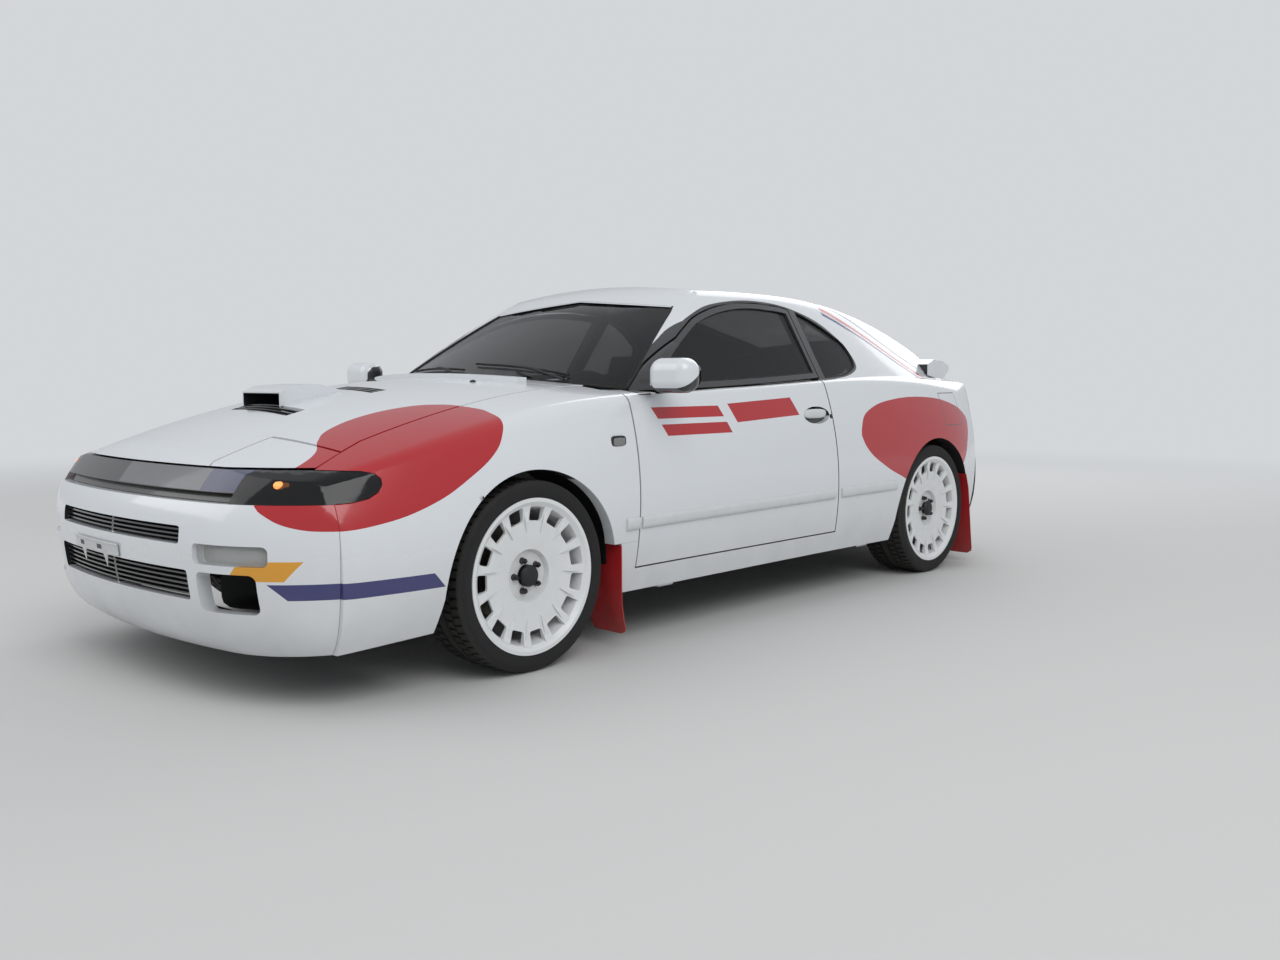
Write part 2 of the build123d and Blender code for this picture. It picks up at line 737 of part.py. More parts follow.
def make_front_bumper():
    """Bumper skin with its two rows of air openings, ducts, bars in the openings and towing eye."""
    space = block((bumper_seam_x + 1, 2300), (-1100, 1100), (100, bumper_top_z))
    openings = []
    for half, low, high in air_opening_table:
        openings.append(front_prism(Pos(0, (low + high) / 2) * RectangleRounded(2 * half, high - low, 12), 2030, 2300))
    for sign in (1, -1):
        space -= front_prism(Pos(sign * 565, 335) * RectangleRounded(190, 110, 20), 1900, 2300)
        space -= front_prism(Pos(sign * 575, 440) * RectangleRounded(230, 56, 16), 1900, 2300)
    skin = (forms.get("bumper", 0.0) & (space - openings[0] - openings[1])) - forms.get("bumper", 40.0)
    bars = []
    for (half, low, high), count in zip(air_opening_table, air_bar_counts):
        pitch = (high - low) / (count + 1)
        outline = Pos(0, (low + high) / 2) * Rectangle(12, high - low)
        for index in range(count):
            outline += Pos(0, low + pitch * (index + 1)) * Rectangle(2 * half, 2 * air_bar_half)
        bars.append((forms.get("bumper", bar_inset) & front_prism(outline, 1990, 2300)) - forms.get("bumper", 40.0))
    eye = Pos(*tow_eye) * Rot(0, 90, 0) * Torus(26, 7) + block((tow_eye[0] - 6, tow_eye[0] + 6), (tow_eye[1] - 7, tow_eye[1] + 7),
                                                               (tow_eye[2] + 20, tow_eye[2] + 60))
    return whole(skin + [*bars, eye], 20000)


def make_fog_lamp():
    lens = forms.get("bumper", bar_inset) & front_prism(Pos(575, 440) * RectangleRounded(229, 55, 16), 1950, 2300)
    return whole(lens - forms.get("bumper", 40.0))


def make_rear_bumper():
    """Bumper skin with an open top edge, and the notch the tail pipe passes through."""
    space = block((-2300, rear_bumper_seam_x), (-1100, 1100), (100, rear_bumper_top_z - 1))
    space -= block((-2300, rear_bumper_seam_x + 5), (tail_pipe_y - 45, tail_pipe_y + 45), (100, 275))
    space -= block((-2000, rear_bumper_seam_x + 5), (-560, 560), (100, 300))
    return whole((forms.get("bumper", 0.0) & space) - forms.get("bumper", 40.0), 20000)


def make_rear_panel():
    space = block((-2300, tail_seam_x), (-1100, 1100), (rear_bumper_top_z, 1000)) - tailgate_space(shut_gap)
    for sign in (1, -1):
        space -= block((-2300, -1700), sorted((sign * 330, sign * 1000)), (662, 782))
    return whole((forms.get("body", 0.0) & space) - forms.get("body", side_wall), 20000)


def make_tail_lamp():
    space = block((-2300, tail_seam_x), (330, 1000), (662, 782))
    return whole((forms.get("body", 0.0) & space) - forms.get("body", side_wall), 5000)


# Wheels. Drawn about their own axle along Y, the outside of the car at +Y


def ring_about_y(points):
    """A closed outline of radius and Y, turned about the axle."""
    return revolve(Plane.XY * polygon(*points), Axis.Y, 360)


def faceted_ring(points, sides):
    """The same kind of ring in flat facets, with one facet on the ground, so that four tyres stay light."""
    corner = 1 / math.cos(math.pi / sides)
    rows = []
    for k in range(sides):
        angle = 2 * math.pi * (k + 0.5) / sides
        along, up = corner * math.cos(angle), corner * math.sin(angle)
        rows.append([(r * along, y, r * up) for r, y in points])
    faces = []
    for row, after in zip(rows, rows[1:] + rows[:1]):
        for i in range(len(points)):
            j = (i + 1) % len(points)
            faces.append(Face(Wire.make_polygon([row[i], row[j], after[j], after[i]], close=True)))
    return Solid(Shell(faces))


def make_tyre():
    half = tyre_width / 2
    bead = 100.0
    profile = (
        (rim_radius, -bead), (276, -half), (297, -half + 12), (tyre_radius, -half + 40), (tyre_radius, half - 40),
        (297, half - 12), (276, half), (rim_radius, bead), (rim_well_radius + 14, bead - 6),
        (rim_well_radius + 14, bead - 20), (tyre_radius - 14, half - 28), (tyre_radius - 14, -half + 28),
        (rim_well_radius + 14, -bead + 20), (rim_well_radius + 14, -bead + 6),
    )
    return faceted_ring(profile, tyre_facets)


def make_rim():
    """Barrel with a dished face of fifteen flat spokes round a centre plate, its nuts' holes and cap."""
    seat = rim_well_radius + 13.6
    wall = rim_wall
    barrel = ring_about_y(
        (
            (rim_radius, -100.4), (seat, -94.4), (seat, -78), (rim_well_radius, -50), (rim_well_radius, 40), (seat, 66),
            (seat, 94.4), (rim_radius, 100.4), (rim_radius, 104), (rim_radius - 12, 104), (seat - wall, 92),
            (rim_well_radius - wall, 42), (rim_well_radius - wall, -52), (seat - wall, -86), (rim_radius - 6, -106),
            (rim_radius, -106),
        )
    )
    dish = ring_about_y(((hub_bore_radius, 40.4), (84, 40.4), (84, 46), (plate_radius, 76), (seat - 4, 76), (seat - 4, 96),
                         (plate_radius, plate_face_y), (84, plate_face_y - 6), (76, 62), (hub_bore_radius, 62)))
    near, far = plate_radius + 2, seat - 4
    slot = polygon((near, -slot_width / 2), (far, -slot_outer_width / 2), (far, slot_outer_width / 2), (near, slot_width / 2))
    cutter = extrude(Plane.XZ * fillet(slot.vertices(), 8), amount=-120)
    hole = extrude(Plane.XZ * (Pos(lug_circle_radius, 0) * Circle(lug_hole_radius)), amount=-120)
    ridge = extrude(Plane.XZ * polygon((spoke_foot_radius, 0), (seat - 6, 12), (seat - 6, -12)), amount=-spoke_ridge_y)
    ridges = []
    for index in range(spoke_count):
        dish -= cutter.rotate(Axis.Y, index * 360 / spoke_count)
        ridges.append(ridge.rotate(Axis.Y, (index + 0.5) * 360 / spoke_count))
    for index in range(lug_count):
        dish -= hole.rotate(Axis.Y, index * 360 / lug_count)
    envelope = ring_about_y(((spoke_foot_radius, plate_face_y - 12), (seat - 5, 80), (seat - 5, 99), (plate_radius, spoke_ridge_y),
                             (spoke_foot_radius, plate_face_y + 1)))
    cap = ring_about_y(((0, 74.4), (cap_radius + 8, 74.4), (cap_radius + 8, 62), (hub_bore_radius, 62), (hub_bore_radius, 74),
                        (cap_radius + 4, 84), (0, 88)))
    body = barrel + dish + cap
    for one in ridges:
        body += one & envelope
    return whole(body, 20000)


def make_disc():
    """Brake disc with its hat, the mounting flange and the wheel nuts."""
    ring = ring_about_y(((95, -38), (disc_radius, -38), (disc_radius, -12), (95, -12)))
    hat = ring_about_y(((hub_bore_radius, 20), (74, 20), (74, -30), (95.5, -30), (95.5, -20), (82, -20), (82, 40),
                        (hub_bore_radius, 40)))
    body = ring + hat
    for index in range(lug_count):
        angle = math.radians(index * 360 / lug_count)
        centre = (lug_circle_radius * math.cos(angle), lug_circle_radius * math.sin(angle))
        plane = Plane(origin=(0, 39, 0), x_dir=(1, 0, 0), z_dir=(0, 1, 0))
        body += extrude(plane * (Pos(*centre) * RegularPolygon(lug_flat_radius, 6)), amount=31)
    return whole(body, 20000)


def place_wheel(shape, x, y, side):
    """Left as drawn, right mirrored, so that the spokes face outwards."""
    moved = shape if side == "L" else mirror(shape, about=Plane.XZ)
    return Pos(x, y if side == "L" else -y, tyre_radius) * moved


# Running gear, left side; the right is its mirror image

kingpin_slope = math.tan(math.radians(kingpin_lean))


def kingpin(z):
    """The point of the steering line at a height."""
    return (front_axle_x, ball_joint[1] - (z - ball_joint[2]) * kingpin_slope, z)


def caliper(x, y):
    """Caliper over the rear edge of the disc."""
    grip = ring_about_y(((100, -62), (178, -62), (178, 12), (100, 12)))
    grip -= ring_about_y(((90, -44), (disc_radius + 6, -44), (disc_radius + 6, -6), (90, -6)))
    wedge = block((-200, -60), (-100, 100), (-75, 75))
    return Pos(x, y, tyre_radius) * whole(grip & wedge)


def make_knuckle():
    """Carrier with the wheel's spindle, the caliper, and the strut up to its mount."""
    y = front_track / 2
    axle = (front_axle_x, kingpin(tyre_radius)[1], tyre_radius)
    carrier = block((front_axle_x - 45, front_axle_x + 45), (axle[1] - 16, axle[1] + 16), (236, 372))
    hub = rod(axle, (front_axle_x, y + 60, tyre_radius), hub_bore_radius - pin_clearance)
    flange = rod(axle, (front_axle_x, y - 48, tyre_radius), 46)
    pin = rod(ball_joint, kingpin(250), 11)
    foot = rod(kingpin(228), kingpin(262), 24)
    bracket = block((front_axle_x - 120, front_axle_x - 30), (y - 62, y - 50), (262, 342))
    tie = block((front_axle_x - 60, front_axle_x - 30), (axle[1] - 10, y - 50), (270, 334))
    arm = block((front_axle_x - 150, front_axle_x - 30), (axle[1] - 12, axle[1] + 10), (250, 280))
    strut = rod(kingpin(350), kingpin(590), 24) + rod(kingpin(580), kingpin(strut_top_z), 11)
    seat = rod(kingpin(spring_seat_z), kingpin(spring_seat_z + 6), 56)
    body = carrier + hub + flange + pin + foot + bracket + tie + arm + strut + seat
    return whole(body + caliper(front_axle_x, y))


def make_subframe():
    """Front subframe with its two lower arms, each with the eye its ball joint turns in."""
    x, y, z = ball_joint
    outline = polygon((x - 18, y - 18), (x + 18, y - 18), (x + 45, 300), (x - 190, 300), (x - 190, 372), (x - 60, 420))
    arm = plan_prism(outline, z - 12, z + 8) + rod(kingpin(z - 14), kingpin(z + 14), 22)
    arm -= rod(kingpin(z - 40), kingpin(z + 40), 11 + pin_clearance)
    cross = block((x - 190, x + 45), (-330, 330), (z - 14, z + 22))
    return whole(cross + both_sides(arm)[0] + both_sides(arm)[1], 5000)


def make_headlamp():
    """Lid with the lamp pod under it; the round lamp faces forward when the lid is up."""
    lid = (forms.get("body", 0.0) & plan_prism(lid_plan(), bonnet_front_z, 1000.0)) - forms.get("body", lid_wall)
    y, tilt = lamp_lens_y, math.radians(lid_opening)
    back = (lamp_lens[0] - lamp_depth * math.cos(tilt), y, lamp_lens[1] + lamp_depth * math.sin(tilt))
    pod = rod((lamp_lens[0], y, lamp_lens[1]), back, lamp_radius) & forms.get("body", 0.0)
    return whole(lid + (pod & side_prism(Pos(*lid_hinge) * Circle(pod_reach))), 5000)


def wheel_tub(axle_x, y_in, y_out, low_z):
    """Liner over a wheel: a half ring and its inner wall."""
    y_middle, depth = (y_in + y_out) / 2, y_out - y_in
    outer = arch_liner_radius + arch_liner_thick
    ring = Pos(axle_x, y_middle, arch_centre_z) * Rot(90, 0, 0) * (
        Cylinder(outer, depth) - Pos(0, 0, -arch_liner_thick) * Cylinder(arch_liner_radius, depth)
    )
    return ring & block((axle_x - 400, axle_x + 400), (y_in - 10, y_out + 10), (low_z, 700))


def make_floor():
    """Floor pan with the tunnel over shaft and exhaust, the load floor and the rear wheels' tubs."""
    low, high = floor_low_z, floor_low_z + floor_thick
    profile = polygon(
        (900, 516), (830, high), (-542, high), (-620, 328), (-880, 403), (-960, 412), (-1880, 412), (-1880, 388), (-872, 388),
        (-628, 318), (-548, low), (842, low), (914, 516),
    )
    pan = side_prism(profile, -600, 600)
    for sign in (1, -1):
        pan -= block((rear_axle_x - 351, rear_axle_x + 351), sorted((sign * 444, sign * 700)), (150, 700))
        pan -= block((front_axle_x - 420, front_axle_x + 400), sorted((sign * 440, sign * 700)), (150, 700))
    half, top = tunnel_half, tunnel_top_z
    inner, roof = half - floor_thick, top - 16
    pan -= block((-702, 950), (-inner, inner), (150, roof))
    arch = polygon((half, low), (half, top), (-half, top), (-half, low), (-inner, low), (-inner, roof),
                   (inner, roof), (inner, low))
    pan += front_prism(arch, -700, 868)
    for tub in both_sides(wheel_tub(rear_axle_x, 440, 780, 394) & forms.get("body", door_wall)):
        pan += tub
    return whole(pan, 20000)


def make_front_structure():
    """Firewall, wheel liners, strut towers, rails, radiator and its support."""
    body = side_prism(polygon((918, 520), (904, 800), (890, 800), (904, 520)), -600, 600)
    tower_y = kingpin(690)[1]
    for sign in (1, -1):
        body -= block((800, 1000), sorted((sign * 450, sign * 700)), (500, 660))
    half = []
    tub = wheel_tub(front_axle_x, 440, 790, 290)
    tower = block((front_axle_x - 88, front_axle_x + 88), (tower_y - 84, tower_y + 84), (590, 742))
    space = block((front_axle_x - 80, front_axle_x + 80), (tower_y - 76, tower_y + 76), (560, 734))
    tower -= Pos(front_axle_x, (440 + 790) / 2, arch_centre_z) * Rot(90, 0, 0) * Cylinder(arch_liner_radius, 500)
    shaft_hole = rod(kingpin(700), kingpin(790), 22)
    side = ((tub + tower) - space) - shaft_hole
    side += block((919, 2020), (348, 400), (400, 470)) + block((910, 960), (348, 400), (522, 560))
    side += block((920, 959), (350, 398), (440, 540))
    side += block((front_axle_x - 340, front_axle_x + 340), (390, 446), (420, 450))
    for one in both_sides(side):
        half.append(one)
    for one in half:
        body += one
    body += block((1960, 1985), (-400, 400), (320, 560)) - block((1900, 2000), (-300, 300), (340, 530))
    body += block((1963, 1982), (-300, 300), (340, 530))
    return whole(body, 5000)


def make_engine():
    return block((1120, 1720), (-320, 300), (250, 690))


def make_dashboard():
    """Dashboard across the cabin with the column the steering wheel turns on."""
    profile = polygon((560, 640), (560, 800), (640, 845), (850, 815), (880, 640))
    x, y, z = steering_wheel_centre
    tilt = math.radians(steering_wheel_tilt)
    ahead = (math.sin(tilt), -math.cos(tilt))
    column = rod((x + 24 * ahead[0], y, z + 24 * ahead[1]), (x + 160 * ahead[0], y, z + 160 * ahead[1]), 24)
    pin = rod((x - 10 * ahead[0], y, z - 10 * ahead[1]), (x + 40 * ahead[0], y, z + 40 * ahead[1]), 10)
    return whole(side_prism(profile, -620, 620) + column + pin)


def make_seat():
    """One front seat: base, cushion, leaning back and head rest."""
    y = steering_wheel_centre[1]
    foot = floor_low_z + floor_thick + seat_gap
    seat = block((-150, 340), (y - 212, y + 212), (300, 430)) + block((-100, 300), (y - 180, y + 180), (foot, 300))
    seat += Pos(-150, y, 420) * Rot(0, -22, 0) * block((-90, 20), (-225, 225), (-20, 520))
    seat += Pos(-150, y, 420) * Rot(0, -22, 0) * block((-70, 0), (-60, 60), (500, 580))
    seat += Pos(-150, y, 420) * Rot(0, -22, 0) * block((-85, 15), (-115, 115), (545, 660))
    return whole(seat)


def make_rear_seat():
    profile = polygon((-820, 413), (-600, 360), (-560, 470), (-720, 480), (-930, 800), (-980, 790), (-860, 413))
    return whole(side_prism(profile, -430, 430))


def make_exhaust():
    """Pipe along the tunnel, past the differential, into the silencer and its tail pipe."""
    z, r = exhaust_z, exhaust_radius
    route = ((880, -70, z), (-700, -70, z), (-1000, -150, z), (-1430, -150, z), (-1455, 380, z))
    body = rod(route[0], route[1], r)
    for start, end in zip(route[1:], route[2:]):
        body = body + rod(start, end, r) + Pos(*start) * Sphere(r)
    body += Pos(*route[-1]) * Sphere(r) + rod(route[-1], (-1520, tail_pipe_y - 60, z), r)
    body += Pos(-1665, tail_pipe_y - 60, z) * Rot(0, 90, 0) * Cylinder(62, 300)
    body += rod((-1800, tail_pipe_y, z - 20), (tail_pipe_end_x, tail_pipe_y, z - 20), 32)
    body -= rod((tail_pipe_end_x + 140, tail_pipe_y, z - 20), (tail_pipe_end_x - 10, tail_pipe_y, z - 20), 29)
    return whole(body)


def make_propshaft():
    return rod((880, 40, shaft_z), (-1100, 0, shaft_z), shaft_radius)


def make_rear_suspension():
    """Cross member with the differential, drive shafts, links, struts and the spindles of the rear wheels."""
    x, y = rear_axle_x, rear_track / 2
    body = block((x - 60, x + 60), (-420, 420), (345, 380)) + rod((-1101, 0, shaft_z), (-1330, 0, shaft_z), 80)
    for sign in (1, -1):
        body += rod((x, sign * (y - 120), 302), (x, sign * (y + 60), 302), hub_bore_radius - pin_clearance)
        body += rod((x, sign * (y - 130), 302), (x, sign * (y - 48), 302), 46)
        body += rod((x, sign * 60, 302), (x, sign * (y - 125), 302), 15)
        for dx in (-40, 40):
            body += rod((x + dx, sign * 380, 362), (x + dx, sign * (y - 110), 280), 14)
        body += block((x - 60, x + 60), sorted((sign * (y - 130), sign * (y - 112))), (240, 380))
        body += rod((x, sign * (y - 121), 370), (x, sign * 560, 642), 22)
    return whole(body)


def make_mudflap(outline, y_low, y_high):
    """A sheet that hangs along the rear edge of a wheel arch; the front one clears the steered tyre."""
    return side_prism(polygon(*outline), y_low, y_high)


def make_mirror():
    """Door mirror: a rounded shell on a foot at the front corner of the window."""
    shell = Pos(690, 916, 925) * Box(110, 176, 118)
    shell = fillet(shell.edges(), 46)
    shell -= Pos(633, 922, 926) * Box(14, 120, 68)
    foot = block((650, 720), (780, 880), (886, 912))
    return whole((shell + foot) - forms.get("cabin", 0.0) - forms.get("body", 0.0), 3000)


def make_steering_wheel():
    place = Pos(*steering_wheel_centre) * Rot(0, -steering_wheel_tilt, 0)
    r = steering_wheel_radius
    ring = Torus(r, 13)
    hub = Cylinder(34, 40) - Pos(0, 0, -10) * Cylinder(10 + pin_clearance, 44)
    spokes = Box(26, 2 * r - 10, 10) - Cylinder(30, 60) + Pos(-r / 2, 0, 0) * Box(r - 10, 26, 10) - Cylinder(30, 60)
    return whole(place * (ring + hub + spokes))


def build():
    """Every node by name. Left pieces are drawn and mirrored."""
    made = {}
    left_pieces = (
        ("front_fender", make_fender()),
        ("side_frame", make_side_frame()),
        ("door", make_door()),
        ("door_glass", make_door_glass()),
        ("mirror", make_mirror()),
        ("headlamp", make_headlamp()),
        ("knuckle", make_knuckle()),
        ("corner_lamp", make_corner_lamp()),
        ("fog_lamp", make_fog_lamp()),
        ("quarter_window", make_quarter_window()),
        ("tail_lamp", make_tail_lamp()),
        ("front_mudflap", make_mudflap(front_flap, 700.0, 858.0)),
        ("rear_mudflap", make_mudflap(rear_flap, 640.0, 850.0)),
        ("front_seat", make_seat()),
    )
    for name, shape in left_pieces:
        made[name + "_left"], made[name + "_right"] = both_sides(shape)
    made.update(
        bonnet=make_bonnet(),
        nose_panel=make_nose_panel(),
        front_bumper=make_front_bumper(),
        cowl=make_cowl(),
        roof=make_roof(),
        windscreen=make_screen(),
        tailgate=make_tailgate(),
        tailgate_glass=make_tailgate_glass(),
        rear_panel=make_rear_panel(),
        rear_bumper=make_rear_bumper(),
        floor_pan=make_floor(),
        front_structure=make_front_structure(),
        front_subframe=make_subframe(),
        engine_block=make_engine(),
        dashboard=make_dashboard(),
        rear_seat=make_rear_seat(),
        exhaust=make_exhaust(),
        propshaft=make_propshaft(),
        rear_suspension=make_rear_suspension(),
        steering_wheel=make_steering_wheel(),
    )
    tyre, rim, hub = make_tyre(), make_rim(), make_disc()
    for end, axle_x, track in (("front", front_axle_x, front_track), ("rear", rear_axle_x, rear_track)):
        for side, side_name in (("L", "left"), ("R", "right")):
            for name, shape in (("tyre", tyre), ("rim", rim), ("brake_disc", hub)):
                made[f"{end}_{name}_{side_name}"] = place_wheel(shape, axle_x, track / 2, side)
    return made


if __name__ == "__main__":
    os.makedirs("parts", exist_ok=True)
    for name, shape in build().items():
        export_step(shape, f"parts/{name}.step")
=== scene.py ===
"""Looks of the rally car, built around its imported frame. Metres, +X forward, +Y the car's left, +Z up."""

import json
import math

import bmesh
import bpy
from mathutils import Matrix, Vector
from mathutils.bvhtree import BVHTree


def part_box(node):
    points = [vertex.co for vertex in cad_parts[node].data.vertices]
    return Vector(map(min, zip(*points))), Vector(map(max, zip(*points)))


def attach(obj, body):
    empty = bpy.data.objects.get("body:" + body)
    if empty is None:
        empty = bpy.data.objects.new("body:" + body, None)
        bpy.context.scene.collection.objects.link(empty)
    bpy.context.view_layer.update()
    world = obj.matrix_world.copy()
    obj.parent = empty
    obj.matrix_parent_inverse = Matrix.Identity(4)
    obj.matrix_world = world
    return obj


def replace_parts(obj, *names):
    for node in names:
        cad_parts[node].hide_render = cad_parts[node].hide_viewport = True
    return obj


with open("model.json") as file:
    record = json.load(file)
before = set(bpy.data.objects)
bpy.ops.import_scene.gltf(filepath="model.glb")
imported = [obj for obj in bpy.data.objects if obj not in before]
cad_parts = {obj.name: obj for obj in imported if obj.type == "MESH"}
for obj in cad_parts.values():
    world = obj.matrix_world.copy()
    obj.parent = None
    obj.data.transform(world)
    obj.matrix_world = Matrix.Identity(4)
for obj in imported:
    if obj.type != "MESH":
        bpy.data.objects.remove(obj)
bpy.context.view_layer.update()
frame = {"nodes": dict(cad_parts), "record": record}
nodes = frame["nodes"]
body_of = {n: b for b, members in frame["record"]["behaviour"]["bodies"].items() for n in members}
hands = (("_left", 1), ("_right", -1))
axle_x, axle_z = 1.2625, 0.302


# The camera stands ahead of the left front wheel at chest height. Its place and lens were solved from
# the car's wheelbase, track and height in the photograph.

focal_pixels, photo_width, sensor = 1137.7, 1280.0, 36.0
camera_data = bpy.data.cameras.new("camera")
camera_data.sensor_width = sensor
camera_data.lens = focal_pixels * sensor / photo_width
camera_data.clip_end = 200.0
camera = bpy.data.objects.new("camera", camera_data)
bpy.context.scene.collection.objects.link(camera)
camera.location = (3.605, 3.45, 0.917)
heading, pitch = math.radians(-137.27), math.radians(-5.13)
ahead = Vector((math.cos(pitch) * math.cos(heading), math.cos(pitch) * math.sin(heading), math.sin(pitch)))
camera.rotation_mode = "QUATERNION"
camera.rotation_quaternion = ahead.to_track_quat("-Z", "Y")
bpy.context.scene.camera = camera
bpy.context.scene.view_settings.view_transform = "Standard"


# How materials are written down: values worked out from a place on the car, patterns, and colours in layers.


def linear(hex_colour):
    """Linear RGBA of an sRGB hex colour."""
    channels = [int(hex_colour[i : i + 2], 16) / 255 for i in (0, 2, 4)]
    return (*[c / 12.92 if c <= 0.04045 else ((c + 0.055) / 1.055) ** 2.4 for c in channels], 1.0)


class Value:
    """A number worked out in a node tree. Sums, products and comparisons of values add their nodes."""

    def __init__(self, socket):
        self.socket = socket

    def calc(self, operation, other=0.0):
        node = add_node(self.socket.id_data, "ShaderNodeMath", {0: self, 1: other}, operation=operation)
        return Value(node.outputs[0])

    def __add__(self, other):
        return self.calc("ADD", other)

    def __sub__(self, other):
        return self.calc("SUBTRACT", other)

    def __mul__(self, other):
        return self.calc("MULTIPLY", other)

    def __truediv__(self, other):
        return self.calc("DIVIDE", other)

    def __gt__(self, other):
        return self.calc("GREATER_THAN", other)

    def __lt__(self, other):
        return self.calc("LESS_THAN", other)

    def __abs__(self):
        return self.calc("ABSOLUTE")

    def waves(self, pitch):
        """A sine that repeats once in a pitch."""
        return (self * (math.tau / pitch)).calc("SINE")

    def mapped(self, low, high, to_low=0.0, to_high=1.0, **settings):
        """The value moved from one range to another, and held at its ends."""
        inputs = {0: self, 1: low, 2: high, 3: to_low, 4: to_high}
        return Value(add_node(self.socket.id_data, "ShaderNodeMapRange", inputs, **settings).outputs[0])


def add_node(tree, kind, inputs=(), **settings):
    """A node with its settings, and its inputs set by index or name to numbers or linked from values."""
    node = tree.nodes.new(kind)
    for name, value in settings.items():
        setattr(node, name, value)
    for key, value in dict(inputs).items():
        if isinstance(value, Value):
            value = value.socket
        if isinstance(value, bpy.types.NodeSocket):
            tree.links.new(value, node.inputs[key])
        else:
            node.inputs[key].default_value = value
    return node


def within(value, low, high):
    """1 where a value lies between two others."""
    return (value > low) * (value < high)


def either(first, *others):
    """1 where at least one of the masks is 1."""
    for mask in others:
        first = first.calc("MAXIMUM", mask)
    return first


def edge_line(along, *points):
    """The height of a smooth outline through (along, height) points, at each place along it."""
    tree = along.socket.id_data
    xs, zs = zip(*points)
    low_x, high_x, low_z, high_z = min(xs), max(xs), min(zs) - 0.02, max(zs) + 0.02
    curve = add_node(tree, "ShaderNodeFloatCurve", {1: along.mapped(low_x, high_x)})
    line = curve.mapping.curves[0]
    spots = sorted(((x - low_x) / (high_x - low_x), (z - low_z) / (high_z - low_z)) for x, z in points)
    line.points[0].location, line.points[1].location = spots[0], spots[-1]
    for spot in spots[1:-1]:
        line.points.new(*spot)
    curve.mapping.update()
    return Value(curve.outputs[0]).mapped(0.0, 1.0, low_z, high_z)


def axes_of(tree, kind):
    """One kind of a tree's coordinates: its socket, then its X, Y and Z."""
    place = add_node(tree, "ShaderNodeTexCoord").outputs[kind]
    return place, *(Value(axis) for axis in add_node(tree, "ShaderNodeSeparateXYZ", {0: place}).outputs)


class Look:
    """A material. Further sockets of its shader go by their name, with _ for a space."""

    def __init__(self, name, colour, roughness, metallic=0.0, **sockets):
        self.material = bpy.data.materials.new(name)
        self.material.use_nodes = True
        self.tree = self.material.node_tree
        self.shader = self.tree.nodes["Principled BSDF"]
        self.place, self.x, self.y, self.z = axes_of(self.tree, "Object")
        self.side = abs(self.y)
        self.set(Base_Color=linear(colour), Roughness=roughness, Metallic=metallic, **sockets)

    def set(self, **sockets):
        for key, value in sockets.items():
            socket = self.shader.inputs[key.replace("_", " ")]
            if isinstance(value, Value):
                self.tree.links.new(value.socket, socket)
            else:
                socket.default_value = value

    def pattern(self, kind, **inputs):
        return Value(add_node(self.tree, kind, {"Vector": self.place, **inputs}).outputs[0])

    def noise(self, scale, detail=2.0):
        return self.pattern("ShaderNodeTexNoise", Scale=scale, Detail=detail)

    def cells(self, scale):
        return self.pattern("ShaderNodeTexVoronoi", Scale=scale)

    def paint(self, colour, *layers):
        """Colours laid over the first one in turn, each as far as its mask is 1."""
        colour = linear(colour)
        for mask, over in layers:
            inputs = {0: mask, 6: colour, 7: linear(over)}
            colour = add_node(self.tree, "ShaderNodeMix", inputs, data_type="RGBA").outputs[2]
        self.tree.links.new(colour, self.shader.inputs["Base Color"])

    def relief(self, strength, distance, height):
        sizes = {"Strength": strength, "Distance": distance, "Height": height}
        bump = add_node(self.tree, "ShaderNodeBump", sizes)
        self.tree.links.new(bump.outputs[0], self.shader.inputs["Normal"])

    def from_axle(self):
        """The place ahead of the nearest axle and above it, and the distance from it."""
        along, up = abs(self.x) - axle_x, self.z - axle_z
        return along, up, (along * along + up * up).calc("SQRT")


# How pieces are made: meshes from rows of points, settled modifiers, and places found on the CAD.


def bridge(bm, first, second, closed=True):
    """Faces between two rows of points."""
    for i in range(len(first) if closed else len(first) - 1):
        j = (i + 1) % len(first)
        bm.faces.new((first[i], first[j], second[j], second[i]))


def mesh_from(name, bm, sharp=None, outward=True, thickness=0.0, smooth=True):
    """The mesh of a form: turned outwards, thickened if it is a sheet, and smooth up to a sharp angle."""
    if outward:
        bmesh.ops.recalc_face_normals(bm, faces=bm.faces)
    if thickness:
        bmesh.ops.solidify(bm, geom=bm.faces[:], thickness=thickness)
    mesh = bpy.data.meshes.new(name)
    bm.to_mesh(mesh)
    bm.free()
    if smooth:
        mesh.shade_smooth()
    if sharp:
        mesh.set_sharp_from_angle(angle=math.radians(sharp))
    return mesh


def merged_mesh(label, name):
    """A CAD node's triangles with their doubles merged, shaded smooth between its sharp edges."""
    bm = bmesh.new()
    points = [bm.verts.new(v.co) for v in nodes[name].data.vertices]
    for face in nodes[name].data.polygons:
        corners = [points[i] for i in face.vertices]
        if len({tuple(round(c, 6) for c in p.co) for p in corners}) == 3:
            bm.faces.new(corners)
    bmesh.ops.remove_doubles(bm, verts=bm.verts, dist=2e-5)
    bmesh.ops.dissolve_degenerate(bm, edges=bm.edges, dist=1e-5)
    return mesh_from(label, bm, sharp=28, outward=False)


def path_mesh(name, *paths):
    """A mesh of bare edges along lists of points."""
    points, edges = [], []
    for path in paths:
        edges += [(len(points) + i, len(points) + i + 1) for i in range(len(path) - 1)]
        points += [tuple(p) for p in path]
    mesh = bpy.data.meshes.new(name)
    mesh.from_pydata(points, edges, [])
    return mesh


def placed(name, mesh):
    """A new object in the scene."""
    piece = bpy.data.objects.new(name, mesh)
    bpy.context.scene.collection.objects.link(piece)
    return piece


def dress(mesh, look):
    mesh.materials.clear()
    mesh.materials.append(look.material)


def show(name, mesh, look, body):
    """A finished piece of the scene, riding on a body."""
    piece = placed(name, mesh)
    dress(mesh, look)
    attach(piece, body)
    return piece


